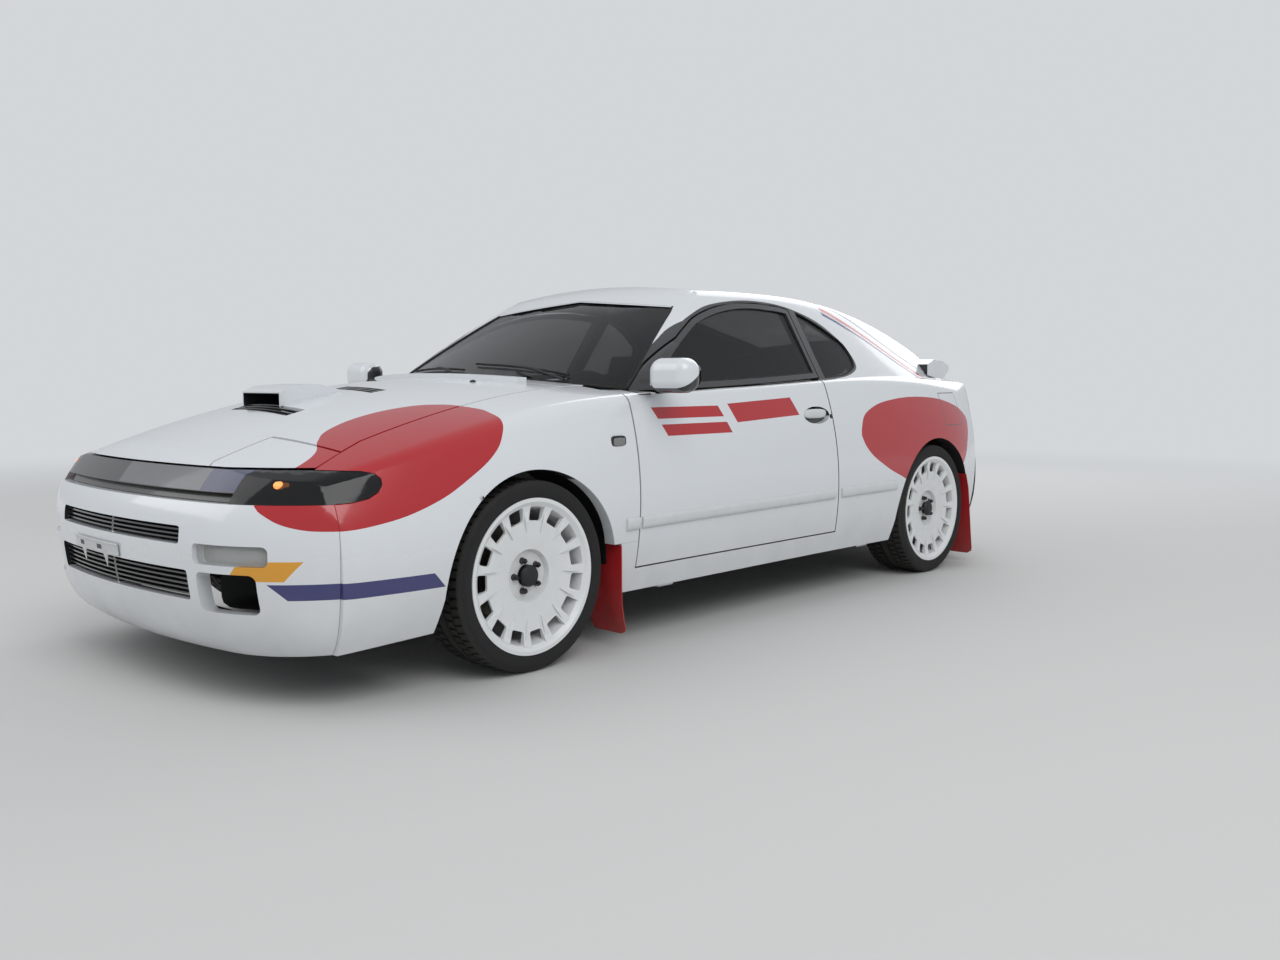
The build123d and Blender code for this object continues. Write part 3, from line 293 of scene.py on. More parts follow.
def settle(piece):
    """Turn what a piece's modifiers make into its own mesh."""
    done = bpy.data.meshes.new_from_object(piece.evaluated_get(bpy.context.evaluated_depsgraph_get()))
    piece.modifiers.clear()
    done.name = piece.name
    piece.data = done
    return done


def rolled(name, look, edge=0.0015):
    """A smooth copy of a CAD panel with its sharp edges rolled, in the panel's place."""
    piece = show(name + "_skin", merged_mesh(name + "_skin", name), look, body_of[name])
    if edge:
        roll = piece.modifiers.new("roll", "BEVEL")
        roll.width, roll.segments, roll.limit_method, roll.angle_limit = edge, 2, "ANGLE", math.radians(50)
        roll.use_clamp_overlap = True
        settle(piece)
    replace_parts(piece, name)


def start_group(name, **kinds):
    """An empty Geometry Nodes tree with its inputs, and their sockets."""
    group = bpy.data.node_groups.new(name, "GeometryNodeTree")
    group.interface.new_socket("Geometry", in_out="OUTPUT", socket_type="NodeSocketGeometry")
    for label, kind in kinds.items():
        group.interface.new_socket(label, in_out="INPUT", socket_type="NodeSocket" + kind)
    return group, group.nodes.new("NodeGroupInput").outputs


def end_group(group, given, shape):
    """Close a tree with its shape made real and given its material."""
    real = add_node(group, "GeometryNodeRealizeInstances", {0: shape.outputs[0]})
    dressed = add_node(group, "GeometryNodeSetMaterial", {0: real.outputs[0], "Material": given["Material"]})
    group.links.new(dressed.outputs[0], group.nodes.new("NodeGroupOutput").inputs[0])
    return group


def tube_group():
    """Geometry Nodes that draw a round cord or wire along each edge of a mesh."""
    group, given = start_group(
        "tube_along_edges", Geometry="Geometry", Radius="Float", Sides="Int", Material="Material")
    paths = add_node(group, "GeometryNodeMeshToCurve", {0: given["Geometry"]})
    sizes = {"Resolution": given["Sides"], "Radius": given["Radius"]}
    ring = add_node(group, "GeometryNodeCurvePrimitiveCircle", sizes)
    tube = add_node(group, "GeometryNodeCurveToMesh", {
        0: paths.outputs[0], 1: ring.outputs[0], "Fill Caps": True})
    return end_group(group, given, add_node(group, "GeometryNodeSetShadeSmooth", {0: tube.outputs[0]}))


def nut_group():
    """Geometry Nodes that set six-sided nuts with a chamfered tip on a circle about Y."""
    group, given = start_group(
        "nuts_on_circle", Count="Int", Circle="Float", Radius="Float", Length="Float", Material="Material")
    radius, length = Value(given["Radius"]), Value(given["Length"])
    circle = add_node(group, "GeometryNodeMeshCircle", {
        "Vertices": given["Count"], "Radius": given["Circle"]})
    nut = add_node(group, "GeometryNodeMeshCylinder", {"Vertices": 6, "Radius": radius, "Depth": length})
    tip = add_node(group, "GeometryNodeMeshCone", {
        "Vertices": 12, "Radius Bottom": radius, "Radius Top": radius * 0.55, "Depth": length * 0.35})
    lift = add_node(group, "ShaderNodeCombineXYZ", {2: length * 0.5})
    raised = add_node(group, "GeometryNodeTransform", {0: tip.outputs[0], "Translation": lift.outputs[0]})
    both = group.nodes.new("GeometryNodeJoinGeometry")
    for part in (nut, raised):
        group.links.new(part.outputs[0], both.inputs[0])
    ring = add_node(group, "GeometryNodeInstanceOnPoints", {0: circle.outputs[0], 2: both.outputs[0]})
    upright = {0: ring.outputs[0], "Rotation": (-math.pi / 2, 0.0, 0.0)}
    return end_group(group, given, add_node(group, "GeometryNodeTransform", upright))


tubes, nut_ring = tube_group(), nut_group()


def grown(name, mesh, group, body, slot, look, **sizes):
    """A piece that a Geometry Nodes tree makes from a mesh and sizes."""
    piece = placed(name, mesh)
    maker = piece.modifiers.new("maker", "NODES")
    maker.node_group = group
    sizes["Material"] = look.material
    for item in group.interface.items_tree:
        if item.in_out == "INPUT" and item.name in sizes:
            maker[item.identifier] = sizes[item.name]
    bpy.context.view_layer.update()
    settle(piece)
    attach(piece, body)
    return piece


def tube_along(name, mesh, radius, sides, look, body, slot):
    """A piece of cord, wire or rod along a mesh's edges."""
    grown(name, mesh, tubes, body, slot, look, Radius=radius, Sides=sides)


def nuts(name, count, circle, radius, length, centre, sign, look, body, slot):
    """A ring of nuts facing the car's side, made flat and turned to face outwards."""
    piece = grown(name, bpy.data.meshes.new(name), nut_ring, body, slot, look, Count=count, Circle=circle,
                  Radius=radius, Length=length)
    for vertex in piece.data.vertices:
        vertex.co.y *= sign
        vertex.co += Vector(centre)
    if sign < 0:
        piece.data.flip_normals()


def tree_of(*names):
    """A search tree over the CAD nodes named, for finding their surface."""
    points, faces = [], []
    for name in names:
        first = len(points)
        points += [v.co.copy() for v in nodes[name].data.vertices]
        faces += [[first + i for i in f.vertices] for f in nodes[name].data.polygons]
    return BVHTree.FromPolygons(points, faces)


def on_surface(surface, start, heading, lift=0.0):
    """The place where a line first meets a surface, lifted off it."""
    hit, normal, _, _ = surface.ray_cast(Vector(start), Vector(heading).normalized())
    if hit is None:
        return None
    if normal.dot(Vector(heading)) > 0:
        normal = -normal
    return hit + normal * lift


def from_side(surface, sign, along, height):
    """The place on one side of the car at a station and height."""
    return on_surface(surface, (along, sign * 1.2, height), (0, -sign, 0))


def from_ahead(surface, across, height):
    """The place on the car's nose at a distance off its middle and height."""
    return on_surface(surface, (3.0, across, height), (-1, 0, 0))


def lathe_form(name, profile, centre, look, body, heading=(1, 0, 0), sides=20):
    """A small form turned about a direction: pairs of place along it and radius, from its back to its tip."""
    ahead = Vector(heading).normalized()
    across = ahead.orthogonal().normalized()
    over = ahead.cross(across)
    angles = [i * math.tau / sides for i in range(sides)]
    spokes = [across * math.cos(a) + over * math.sin(a) for a in angles]
    bm = bmesh.new()
    rings = [[bm.verts.new(Vector(centre) + ahead * along + spoke * radius) for spoke in spokes]
             for along, radius in profile]
    for low, high in zip(rings, rings[1:]):
        bridge(bm, low, high)
    bm.faces.new(rings[0][::-1])
    bm.faces.new(rings[-1])
    show(name, mesh_from(name, bm), look, body)


def rounded(power, count):
    """Points round a square of half size 1 with soft corners, which a higher power makes tighter."""
    points = []
    for i in range(count):
        c, s = math.cos(math.tau * i / count), math.sin(math.tau * i / count)
        stretch = (abs(c) ** power + abs(s) ** power) ** (-1 / power)
        points.append((c * stretch, s * stretch))
    return points


def domed_plate(name, centre, half_long, half_high, thick, sign, look, body, power, rows=6, spokes=40):
    """A rounded plate facing the car's side, thick at its middle and rounded off to its edge."""
    bm = bmesh.new()
    centre_x, centre_y, centre_z = centre
    rings = []
    for k in range(1, rows + 1):
        reach = math.sin(math.pi / 2 * k / rows)
        lift = thick * math.cos(math.pi / 2 * k / rows) ** 0.6 if k < rows else 0.0
        long, high = half_long * reach, half_high * reach
        rings.append([bm.verts.new((centre_x + long * c, centre_y + sign * lift, centre_z + high * s))
                      for c, s in rounded(power, spokes)])
    rings.append([bm.verts.new((v.co.x, v.co.y - sign * 0.006, v.co.z)) for v in rings[-1]])
    top = bm.verts.new((centre_x, centre_y + sign * thick, centre_z))
    for i in range(spokes):
        bm.faces.new((top, rings[0][i], rings[0][(i + 1) % spokes]))
    for low, high in zip(rings, rings[1:]):
        bridge(bm, low, high)
    bm.faces.new(rings[-1])
    show(name, mesh_from(name, bm, sharp=50), look, body)


# The outer panels: pressed steel under two-pack enamel, white with red, blue and yellow areas.
# Each is the CAD panel with its facets merged and shaded smooth, and its shut edges rolled to a small
# radius. Faces that look into the car or down are near-black: trim or underseal in part, and painted
# shade under the panels, such as under the bumpers and under the bonnet, whose real underside is white.

enamel = Look("enamel_two_pack", "DDE0E3", 0.28, Coat_Weight=0.7, Coat_Roughness=0.06)
x, y, z, side = enamel.x, enamel.y, enamel.z, enamel.side
white, red, blue, yellow = "DDE0E3", "B3151E", "20246A", "DE9A14"
red_front = (
    within(x, 1.318, 2.086)
    * (z > edge_line(
        x, (1.318, 0.83), (1.327, 0.793), (1.351, 0.752), (1.393, 0.700), (1.511, 0.625), (1.659, 0.557),
        (1.818, 0.517), (1.951, 0.507), (2.032, 0.519), (2.077, 0.552), (2.086, 0.580)))
    * (side > edge_line(
        x, (1.318, 0.68), (1.340, 0.620), (1.389, 0.542), (1.499, 0.482), (1.633, 0.465), (1.750, 0.484),
        (1.823, 0.535), (1.873, 0.600), (1.930, 0.628), (2.000, 0.640), (2.086, 0.640)))
)
rear_low = edge_line(
    x, (-1.662, 0.700), (-1.62, 0.61), (-1.50, 0.48), (-1.20, 0.40), (-0.905, 0.485), (-0.778, 0.536),
    (-0.661, 0.603), (-0.608, 0.673))
rear_high = edge_line(
    x, (-1.662, 0.701), (-1.642, 0.735), (-1.481, 0.796), (-1.218, 0.828), (-0.884, 0.819), (-0.682, 0.774),
    (-0.613, 0.699), (-0.608, 0.674))
red_rear = within(x, -1.662, -0.608) * within(z, rear_low, rear_high)
lean = x - (z - 0.80) * 0.65
bars = (within(z, 0.776, 0.816) + within(z, 0.716, 0.756)) * within(lean, 0.33, 0.69)
level = z + (x - 0.28) * 0.0448
block_area = within(level, 0.750, 0.822) * within(lean, -0.148, 0.270)
door_red = either(bars, block_area) * (side > 0.70)
hatch_edge = edge_line(
    x, (-2.15, 0.640), (-1.85, 0.655), (-1.60, 0.645), (-1.30, 0.612), (-1.0, 0.568), (-0.70, 0.528))
off_edge = side - hatch_edge
behind = within(x, -2.10, -0.72) * (z > 0.90)
red_line = behind * within(off_edge, 0.006, 0.018)
blue_line = behind * within(off_edge, 0.024, 0.034)
stripe_end = x - (z - 0.34) * 0.9
blue_band = within(z, 0.322, 0.366) * within(stripe_end, 1.636, 2.056) * (side > 0.60)
patch_end = side - (z - 0.40) * 0.7
yellow_block = within(z, 0.374, 0.428) * within(patch_end, 0.600, 0.738) * (x > 1.95)
flap = within(x, -1.572, -1.368) * within(z, 0.690, 0.846)
flap_inner = within(x, -1.568, -1.372) * within(z, 0.694, 0.842)
flap_line = (flap - flap_inner) * (y > 0.5)
# Black where the real pieces are black mouldings: intake bars, bonnet vents, the headlamps' pods, the
# mirrors' feet, the tow eye, the handle's bowl, the scoop's mouth, the side windows' frames and pillar
dark_areas = [
    within(x, low_x, high_x) * within(across, low, high) * within(z, low_z, high_z)
    for low_x, high_x, across, low, high, low_z, high_z in (
        (1.95, 2.3, y, -0.398, 0.398, 0.462, 0.508), (1.95, 2.3, y, -0.428, 0.428, 0.307, 0.388),
        (1.704, 1.759, y, -0.102, 0.252, 0.60, 0.96), (1.378, 1.442, y, 0.008, 0.242, 0.60, 0.96),
        (1.84, 2.00, side, 0.385, 0.545, 0.50, 0.669), (0.64, 0.73, side, 0.760, 0.832, 0.870, 0.916),
        (1.90, 2.08, y, 0.365, 0.457, 0.10, 0.184),
    )
]
bowl_x, bowl_z = (x + 0.290) / 0.091, (z - 0.766) / 0.034
bowl = (bowl_x * bowl_x + bowl_z * bowl_z) < 1.0
mouth_top = edge_line(x, (1.500, 0.835), (1.520, 0.874), (1.600, 0.886), (1.660, 0.882), (1.7035, 0.867))
mouth = within(x, 1.500, 1.7035) * (side < 0.1148) * (z < mouth_top)
belt = edge_line(
    x, (0.735, 0.858), (0.30, 0.874), (-0.052, 0.887), (-0.564, 0.916), (-0.700, 0.935), (-0.790, 0.985))
head = edge_line(
    x, (0.735, 0.882), (0.500, 1.026), (0.253, 1.156), (0.036, 1.215), (-0.284, 1.233), (-0.540, 1.194),
    (-0.730, 1.101), (-0.790, 1.005))
frames = within(x, -0.790, 0.735) * within(z, belt, head) * (side > 0.50)
# Road film: a thin brown haze that thickens towards the sills, broken up by spray the size of a hand
film = enamel.noise(9.0, 5.0) * z.mapped(0.50, 0.16, 0.0, 0.30)
# Faces turned into the car or downwards are painted near-black: partly trim and underseal, partly painted shade
# under the panels.
_, *facing = axes_of(enamel.tree, "Normal")
outward = facing[2] * 0.6
for axis, weight, where in ((0, 0.5, x), (1, 0.8, y)):
    outward += facing[axis] * where.calc("SIGN") * weight
inward_trim_and_shade = outward < -0.30
enamel.paint(
    white, (red_front, red), (red_rear, red), (door_red, red), (blue_band, blue), (yellow_block, yellow),
    (red_line, red), (blue_line, blue), (flap_line, "3A3B3E"),
    (either(*dark_areas, bowl, mouth, frames), "1C1D1F"), (film, "8B857A"), (inward_trim_and_shade, "1B1C1E"))
enamel.set(Roughness=film * 1.2 + inward_trim_and_shade * 0.45 + 0.24)
# Orange peel of sprayed enamel, real cells about 1 mm, drawn at 6 mm so that it shows
enamel.relief(0.035, 0.0006, enamel.noise(160.0, 1.0))
for name in ("front_fender", "side_frame", "door", "headlamp", "mirror"):
    for hand, sign in hands:
        rolled(name + hand, enamel)
for name in ("bonnet", "cowl", "roof", "tailgate", "rear_panel", "rear_bumper", "front_bumper"):
    rolled(name, enamel)


# The band under the bonnet's edge: a moulding in black enamel with a grey and a blue area, over a slot.

band = Look("enamel_black_band", "17181B", 0.30, Coat_Weight=0.5, Coat_Roughness=0.08)
grit = band.noise(60.0, 4.0)
# Below z 0.607, over the slot, the band is painted darker still: painted shade in the slot.
band.paint(
    "17181B", (within(band.y, -0.035, 0.420), "5E5F63"), (within(band.y, 0.420, 0.570), "262B55"),
    (band.z < 0.607, "0D0D0E"), (grit * 0.16, "8B857A"))
band.set(Roughness=grit * 0.22 + 0.22)
rolled("nose_panel", band)


# The glass: laminated screen and toughened side panes, tinted grey-green, each in a black rubber seal.

glass = Look("tinted_glass", "0C1211", 0.03, IOR=1.52, Alpha=0.5)
smear = glass.noise(3.5, 6.0)
glass.set(Roughness=smear.mapped(0.35, 0.75, 0.02, 0.09), Alpha=smear.mapped(0.35, 0.75, 0.52, 0.60))
rubber = Look("epdm_rubber", "121314", 0.75)
# Rubber's bloom: faint grey patches a few centimetres across, and the fine grain of its mould
rubber.paint("101112", (rubber.noise(30.0, 4.0) * 0.35, "34342F"))
rubber.relief(0.3, 0.0005, rubber.noise(700.0))


def rim_mesh(label, name):
    """The sharp edges round the outer face of a pane."""
    bm = bmesh.new()
    bm.from_mesh(merged_mesh(label, name))
    car_middle = Vector((-0.2, 0.0, 0.6))
    outer = {f for f in bm.faces if f.normal.dot((f.calc_center_median() - car_middle).normalized()) > 0.45}
    kept = {
        edge for edge in bm.edges
        if len(edge.link_faces) == 2 and edge.calc_face_angle(0.0) > math.radians(40)
        and not outer.isdisjoint(edge.link_faces)
    }
    bmesh.ops.delete(bm, geom=[e for e in bm.edges if e not in kept], context="EDGES")
    return mesh_from(label, bm, outward=False, smooth=False)


panes = {"windscreen": 0.006, "tailgate_glass": 0.006}
panes.update((name + hand, 0.0045) for name in ("door_glass", "quarter_window") for hand, sign in hands)
for name, width in panes.items():
    rolled(name, glass, edge=0.0)
    tube_along(name + "_seal", rim_mesh(name + "_seal", name), width, 6, rubber, body_of[name], "trim_black")


# Wipers: two pressed steel arms under matt black paint, each holding a rubber blade against the screen.

arm_steel = Look("steel_matt_black", "1A1A1B", 0.55)
# Sprayed satin over steel: grain under 1 mm, drawn at 2 mm, and worn grey in places
arm_steel.paint("19191A", (arm_steel.noise(14.0, 6.0).mapped(0.55, 0.80, 0.0, 0.6), "4A4742"))
arm_steel.relief(0.25, 0.0006, arm_steel.noise(450.0, 2.0))
screen = tree_of("windscreen", "cowl", "bonnet")


def over_screen(count, start, reach, ahead, sweep, lift, bow=0.0):
    """Points across the screen from a start, swept back towards their end and lifted off the glass."""
    points = []
    for step in range(count):
        share = step / (count - 1)
        across = start + reach * share
        place = (ahead - 0.16 * abs(across) ** 1.6 - sweep * share, across, 1.5)
        points.append(on_surface(screen, place, (0, 0, -1), lift + bow * math.sin(math.pi * share)))
    return [p for p in points if p is not None]


for index, (pivot, tip) in enumerate(((0.46, -0.06), (-0.08, -0.52))):
    arm_line = over_screen(7, pivot + 0.02, 0.55 * (tip - pivot), 0.842, 0.065, 0.014, bow=0.012)
    arm = path_mesh("wiper_arm", arm_line)
    blade = path_mesh("wiper_blade", over_screen(13, pivot, tip - pivot, 0.792, 0.045, 0.008))
    tube_along(f"wiper_arm_{index}", arm, 0.0055, 6, arm_steel, "body", "trim_black")
    tube_along(f"wiper_blade_{index}", blade, 0.0045, 6, rubber, "body", "trim_black")


# Lamps: a moulded polycarbonate lens over a pressed, vacuum-metalled reflector, with a glass bulb between.

clear = Look("polycarbonate_clear", "E2E4E2", 0.06, IOR=1.58, Alpha=0.28)
# Flutes moulded in the lens every 9 mm spread the light in a fan
clear.relief(0.5, 0.0012, clear.y.waves(0.009))
smoked = Look("polycarbonate_smoked", "0A0B0D", 0.05, IOR=1.58, Alpha=0.62)
smoked.set(Roughness=smoked.noise(26.0, 7.0).mapped(0.4, 0.8, 0.04, 0.14))
red_lens = Look("acrylic_red", "8E0A12", 0.08, IOR=1.49, Alpha=0.80)
# The inner third is the amber flasher and a clear strip; square prisms every 8 mm
flasher = within(red_lens.side, 0.395, 0.60) * within(red_lens.z, 0.735, 0.79)
red_lens.paint("8E0A12", (within(red_lens.side, 0.345, 0.395), "C9C4BC"), (flasher, "B4560C"))
red_lens.relief(0.5, 0.001, red_lens.y.waves(0.008) + red_lens.z.waves(0.008))
chrome = Look("vacuum_metalled_abs", "C9CACC", 0.14, 1.0)
chrome.relief(0.6, 0.002, (chrome.y + chrome.x).waves(0.016))
# The bulb glows faintly and has pale bands every 4 mm: painted light caught in the bulb, since the lamp is not
# lit.
glowing_bulb = Look("bulb_amber_glass", "E8873C", 0.15, Emission_Strength=0.9, Emission_Color=linear("FF9A4A"))
glowing_bulb.paint("E8873C", (glowing_bulb.z.waves(0.004).mapped(-1.0, 1.0, 0.0, 0.5), "FFD9A0"))
black_abs = Look("abs_black_grained", "191A1B", 0.55)
# Moulded grain like fine leather, cells 1.5 mm across
black_abs.relief(0.35, 0.0006, black_abs.cells(650.0))
black_abs.paint("161718", (black_abs.noise(6.0, 4.0) * 0.5, "2B2B2A"))
headlamp_glass = Look("headlamp_pressed_glass", "C4C9CC", 0.10, 0.35, IOR=1.52)
# Pressed prisms: upright flutes 10 mm apart over a band of cross bars
headlamp_glass.relief(0.6, 0.0015, headlamp_glass.y.waves(0.010) + headlamp_glass.z.waves(0.014))
fog_metal = Look("fog_reflector_dulled", "8A8C90", 0.22, 1.0)
# The bowl is bright only in its middle; its edge is the black housing
across, upward = (fog_metal.side - 0.575) / 0.088, (fog_metal.z - 0.440) / 0.020
fog_edge = (across * across + upward * upward).mapped(0.55, 1.05)
fog_metal.paint("8A8C90", ((fog_metal.y.waves(0.012) + 1.0) * 0.3, "3A3C40"), (fog_edge, "101112"))
bulb_profile = (
    (-0.022, 0.006), (-0.011, 0.0066), (0.0, 0.011), (0.013, 0.0105), (0.019, 0.0066), (0.022, 0.0003))
lens_profile = (
    (-0.003, 0.0590), (0.001, 0.0590), (0.0035, 0.0550), (0.0052, 0.0420), (0.0062, 0.0220), (0.0065, 0.0003))
lamp_tilt = math.radians(50)


def lamp_sheets(name, lens, depth, backing):
    """A lamp's lens, from the outer faces of its solid, and its reflector a little behind them."""
    outer = merged_mesh(name + "_lens", name)
    corner = outer.vertices[0].co
    away = Vector((math.copysign(1.0, corner.x), math.copysign(0.35, corner.y), 0.25)).normalized()
    for label, inset, look in (("_lens", 0.0, lens), ("_reflector", depth, backing)):
        bm = bmesh.new()
        bm.from_mesh(outer)
        bmesh.ops.delete(bm, geom=[f for f in bm.faces if f.normal.dot(away) < 0.30], context="FACES")
        bmesh.ops.translate(bm, verts=bm.verts, vec=-away * inset)
        piece = show(name + label, mesh_from(name + label, bm, outward=False), look, body_of[name])
        wall = piece.modifiers.new("wall", "SOLIDIFY")
        wall.thickness, wall.offset = 0.0025, -1.0
        settle(piece)
        if look is lens:
            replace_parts(piece, name)


for hand, sign in hands:
    lamp_sheets("corner_lamp" + hand, smoked, 0.030, black_abs)
    lamp_sheets("fog_lamp" + hand, clear, 0.022, fog_metal)
    lamp_sheets("tail_lamp" + hand, red_lens, 0.022, chrome)
    lathe_form("corner_bulb" + hand, bulb_profile, (2.018, sign * 0.665, 0.628), glowing_bulb, "body",
               sides=12)
    lathe_form("headlamp_lens" + hand, lens_profile, (1.9352, sign * 0.462, 0.6547), headlamp_glass,
               "headlamp" + hand, (math.cos(lamp_tilt), 0.0, -math.sin(lamp_tilt)), 40)


# The wheels: one-piece cast alloy, powder coated white, with black steel nuts and a black plastic cap.

coat = Look("powder_coat_white", "E4E6E6", 0.36, Coat_Weight=0.25, Coat_Roughness=0.2)
along, up, radius = coat.from_axle()
# Brake dust: a brown film in the hollows of the dish and barrel, thin on the spokes
dusty = coat.noise(22.0, 6.0) * coat.side.mapped(0.825, 0.78, 0.06, 0.60)
coat.paint("E4E6E6", (dusty, "6B645A"), ((radius < 0.0346) * (coat.side > 0.795), "151617"))
coat.set(Roughness=dusty * 0.5 + 0.32)
# Powder coat's orange peel, real cells about 2 mm
coat.relief(0.12, 0.0006, coat.noise(240.0, 1.0))
zinc = Look("steel_black_zinc", "2A2B2E", 0.35, 1.0)
zinc.paint("242528", (zinc.noise(180.0, 3.0), "55565A"))
cap_profile = (
    (0.0765, 0.0345), (0.0800, 0.0345), (0.0815, 0.0325), (0.0860, 0.0310), (0.0885, 0.0270), (0.0880, 0.0245),
    (0.0895, 0.0230), (0.0905, 0.0120), (0.0908, 0.0004))
nut_out = 0.068
axles = (("front", axle_x, 0.7375), ("rear", -axle_x, 0.7325))
wheels = [(end, hand, sign, axle, reach) for end, axle, reach in axles for hand, sign in hands]
for end, hand, sign, axle, reach in wheels:
    wheel = f"{end}_wheel{hand}"
    dress(nodes[f"{end}_rim{hand}"].data, coat)
    lathe_form(f"{end}_cap{hand}", cap_profile, (axle, sign * reach, axle_z), black_abs, wheel,
               (0, sign, 0), 32)
    nuts(f"{end}_nuts{hand}", 5, 0.050, 0.0088, 0.018, (axle, sign * (reach + nut_out), axle_z), sign, zinc,
         wheel, "steel_black")


# The tyres: tarmac tyres of black rubber, moulded with four grooves, blocks between them and a ribbed wall.

tyre_rubber = Look("tyre_rubber", "18181A", 0.82)
along, up, radius = tyre_rubber.from_axle()
# Moulded ribs of the wall: rings 3 mm apart, and a band of fine radial lines near the shoulder
rings = radius.waves(0.003) * within(radius, 0.252, 0.264)
rays = (up.calc("ARCTAN2", along) * 360.0).calc("SINE") * within(radius, 0.276, 0.287)
tyre_rubber.relief(0.5, 0.0008, rings + rays + tyre_rubber.noise(500.0))
scrubbed = tyre_rubber.noise(16.0, 7.0) * radius.mapped(0.285, 0.302, 0.12, 0.65)
tyre_rubber.paint("151517", (scrubbed, "4B4741"))
wall_line = ((-0.094, 0.226), (-0.100, 0.246), (-0.1035, 0.252), (-0.106, 0.262), (-0.1075, 0.274),
             (-0.107, 0.281), (-0.1045, 0.289), (-0.100, 0.2955), (-0.0945, 0.2990))
tread_half = (0.0, 0.0145, 0.0158, 0.0232, 0.0245, 0.0515, 0.0528, 0.0592, 0.0605, 0.078, 0.090)
tread_ys = [-v for v in tread_half[:0:-1]] + list(tread_half)
block_count, block_steps = 66, (0.0, 0.66, 0.70, 0.96)
groove_depth, sipe_depth = 0.0075, 0.006
columns = [(p, r, False) for p, r in wall_line]
columns += [(p, 0.3018 - 0.0022 * (p / 0.09) ** 4, True) for p in tread_ys]
columns += [(-p, r, False) for p, r in reversed(wall_line)]


def tread_radius(place, radius, in_gap):
    """The radius of a point of the tread: sunk in the four grooves and in the gaps between its blocks."""
    width = abs(place)
    if 0.0152 < width < 0.0238 or 0.0522 < width < 0.0598:
        return radius - groove_depth
    return radius - sipe_depth if width > 0.024 and in_gap else radius


for end, hand, sign, axle, reach in wheels:
    bm = bmesh.new()
    rows = []
    for turn in [block + step for block in range(block_count) for step in block_steps]:
        row = []
        for p, r, tread in columns:
            half_turn = 0.5 if 0.0240 < abs(p) < 0.0520 else 0.0
            slant = 6.0 * max(0.0, abs(p) - 0.06) if tread else 0.0
            angle = (turn + half_turn + slant) * math.tau / block_count
            if tread:
                r = tread_radius(p, r, turn % 1.0 > 0.68)
            row.append(bm.verts.new((
                axle + r * math.cos(angle), sign * reach + p, axle_z + r * math.sin(angle))))
        rows.append(row)
    for first, second in zip(rows, rows[1:] + rows[:1]):
        bridge(bm, first, second)
    tread_name = f"{end}_tyre_tread{hand}"
    piece = show(tread_name, mesh_from(tread_name, bm, sharp=32), tyre_rubber, f"{end}_wheel{hand}")
    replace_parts(piece, f"{end}_tyre{hand}")


# The brakes: cast iron discs turned on a lathe, and iron calipers on their uprights.

disc_iron = Look("cast_iron_turned", "8A8782", 0.34, 1.0)
along, up, radius = disc_iron.from_axle()
# Lathe marks, really 0.2 mm apart, drawn 2 mm apart; the hub in the middle and the rim stay rusty
disc_iron.relief(0.3, 0.0004, radius.waves(0.002))
rust = disc_iron.noise(40.0, 8.0)
rusty = rust * (radius < 0.095) + rust * (radius > 0.154)
disc_iron.paint("8A8782", (rusty, "5A3A26"))
disc_iron.set(Roughness=rusty * 0.6 + 0.30)
sand_cast = Look("cast_iron_sand", "3A3633", 0.72, 0.6)
# Sand casting: pimples about 1.5 mm, with rust in the low places
sand_cast.relief(0.5, 0.001, sand_cast.noise(420.0, 3.0))
sand_cast.paint("34322F", (sand_cast.noise(28.0, 8.0) * 0.6, "5A3C28"))
for end, hand, *_ in wheels:
    dress(nodes[f"{end}_brake_disc{hand}"].data, disc_iron)
for hand, sign in hands:
    dress(nodes["knuckle" + hand].data, sand_cast)


# Mudflaps: red sheets of polyurethane, cut with rounded corners and hung along the rear of each arch.

flap_sheet = Look("polyurethane_red", "B81C24", 0.48)
flap_sheet.relief(0.4, 0.004, flap_sheet.noise(14.0, 3.0))
# Splashes of road dirt, thicker towards the foot
splashed = flap_sheet.noise(34.0, 8.0) * flap_sheet.z.mapped(0.30, 0.05, 0.10, 0.60)
flap_sheet.paint("B81C24", (splashed, "6E655B"))
flap_corner, flap_columns = 0.024, 10
flap_lines = {
    "front": ((0.892, 0.360), (0.892, 0.290), (0.892, 0.215), (0.890, 0.160), (0.880, 0.108), (0.867, 0.056)),
    "rear": ((-1.571, 0.448), (-1.598, 0.380), (-1.611, 0.300), (-1.618, 0.250), (-1.634, 0.150),
             (-1.653, 0.046)),
}


def flap_stations(line):
    """Places down a flap, closer together and with the end point in the last stretch."""
    for (start_x, start_z), (stop_x, stop_z) in zip(line, line[1:]):
        last = (stop_x, stop_z) == line[-1]
        count = 8 if last else 4
        for step in range(count + last):
            share = step / count
            yield start_x + (stop_x - start_x) * share, start_z + (stop_z - start_z) * share


for end, line in flap_lines.items():
    for hand, sign in hands:
        name = f"{end}_mudflap{hand}"
        low, high = (Vector(v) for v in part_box(name))
        bm = bmesh.new()
        rows = []
        for flap_x, flap_z in flap_stations(line):
            corner = max(0.0, flap_corner - (flap_z - line[-1][1])) / flap_corner
            pull = flap_corner * (1.0 - math.sqrt(max(0.0, 1.0 - corner * corner)))
            rows.append([
                bm.verts.new((flap_x + 0.0012 * math.sin(9.0 * flap_z + 0.9 * j),
                              low.y + pull + (high.y - low.y - 2 * pull) * j / flap_columns, flap_z))
                for j in range(flap_columns + 1)])
        for first, second in zip(rows, rows[1:]):
            bridge(bm, first, second, closed=False)
        mesh = mesh_from(name + "_sheet", bm, sharp=50, thickness=0.004)
        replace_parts(show(name + "_sheet", mesh, flap_sheet, "body"), name)


# The air intakes: woven steel wire, painted black, stretched behind the bars of both openings.

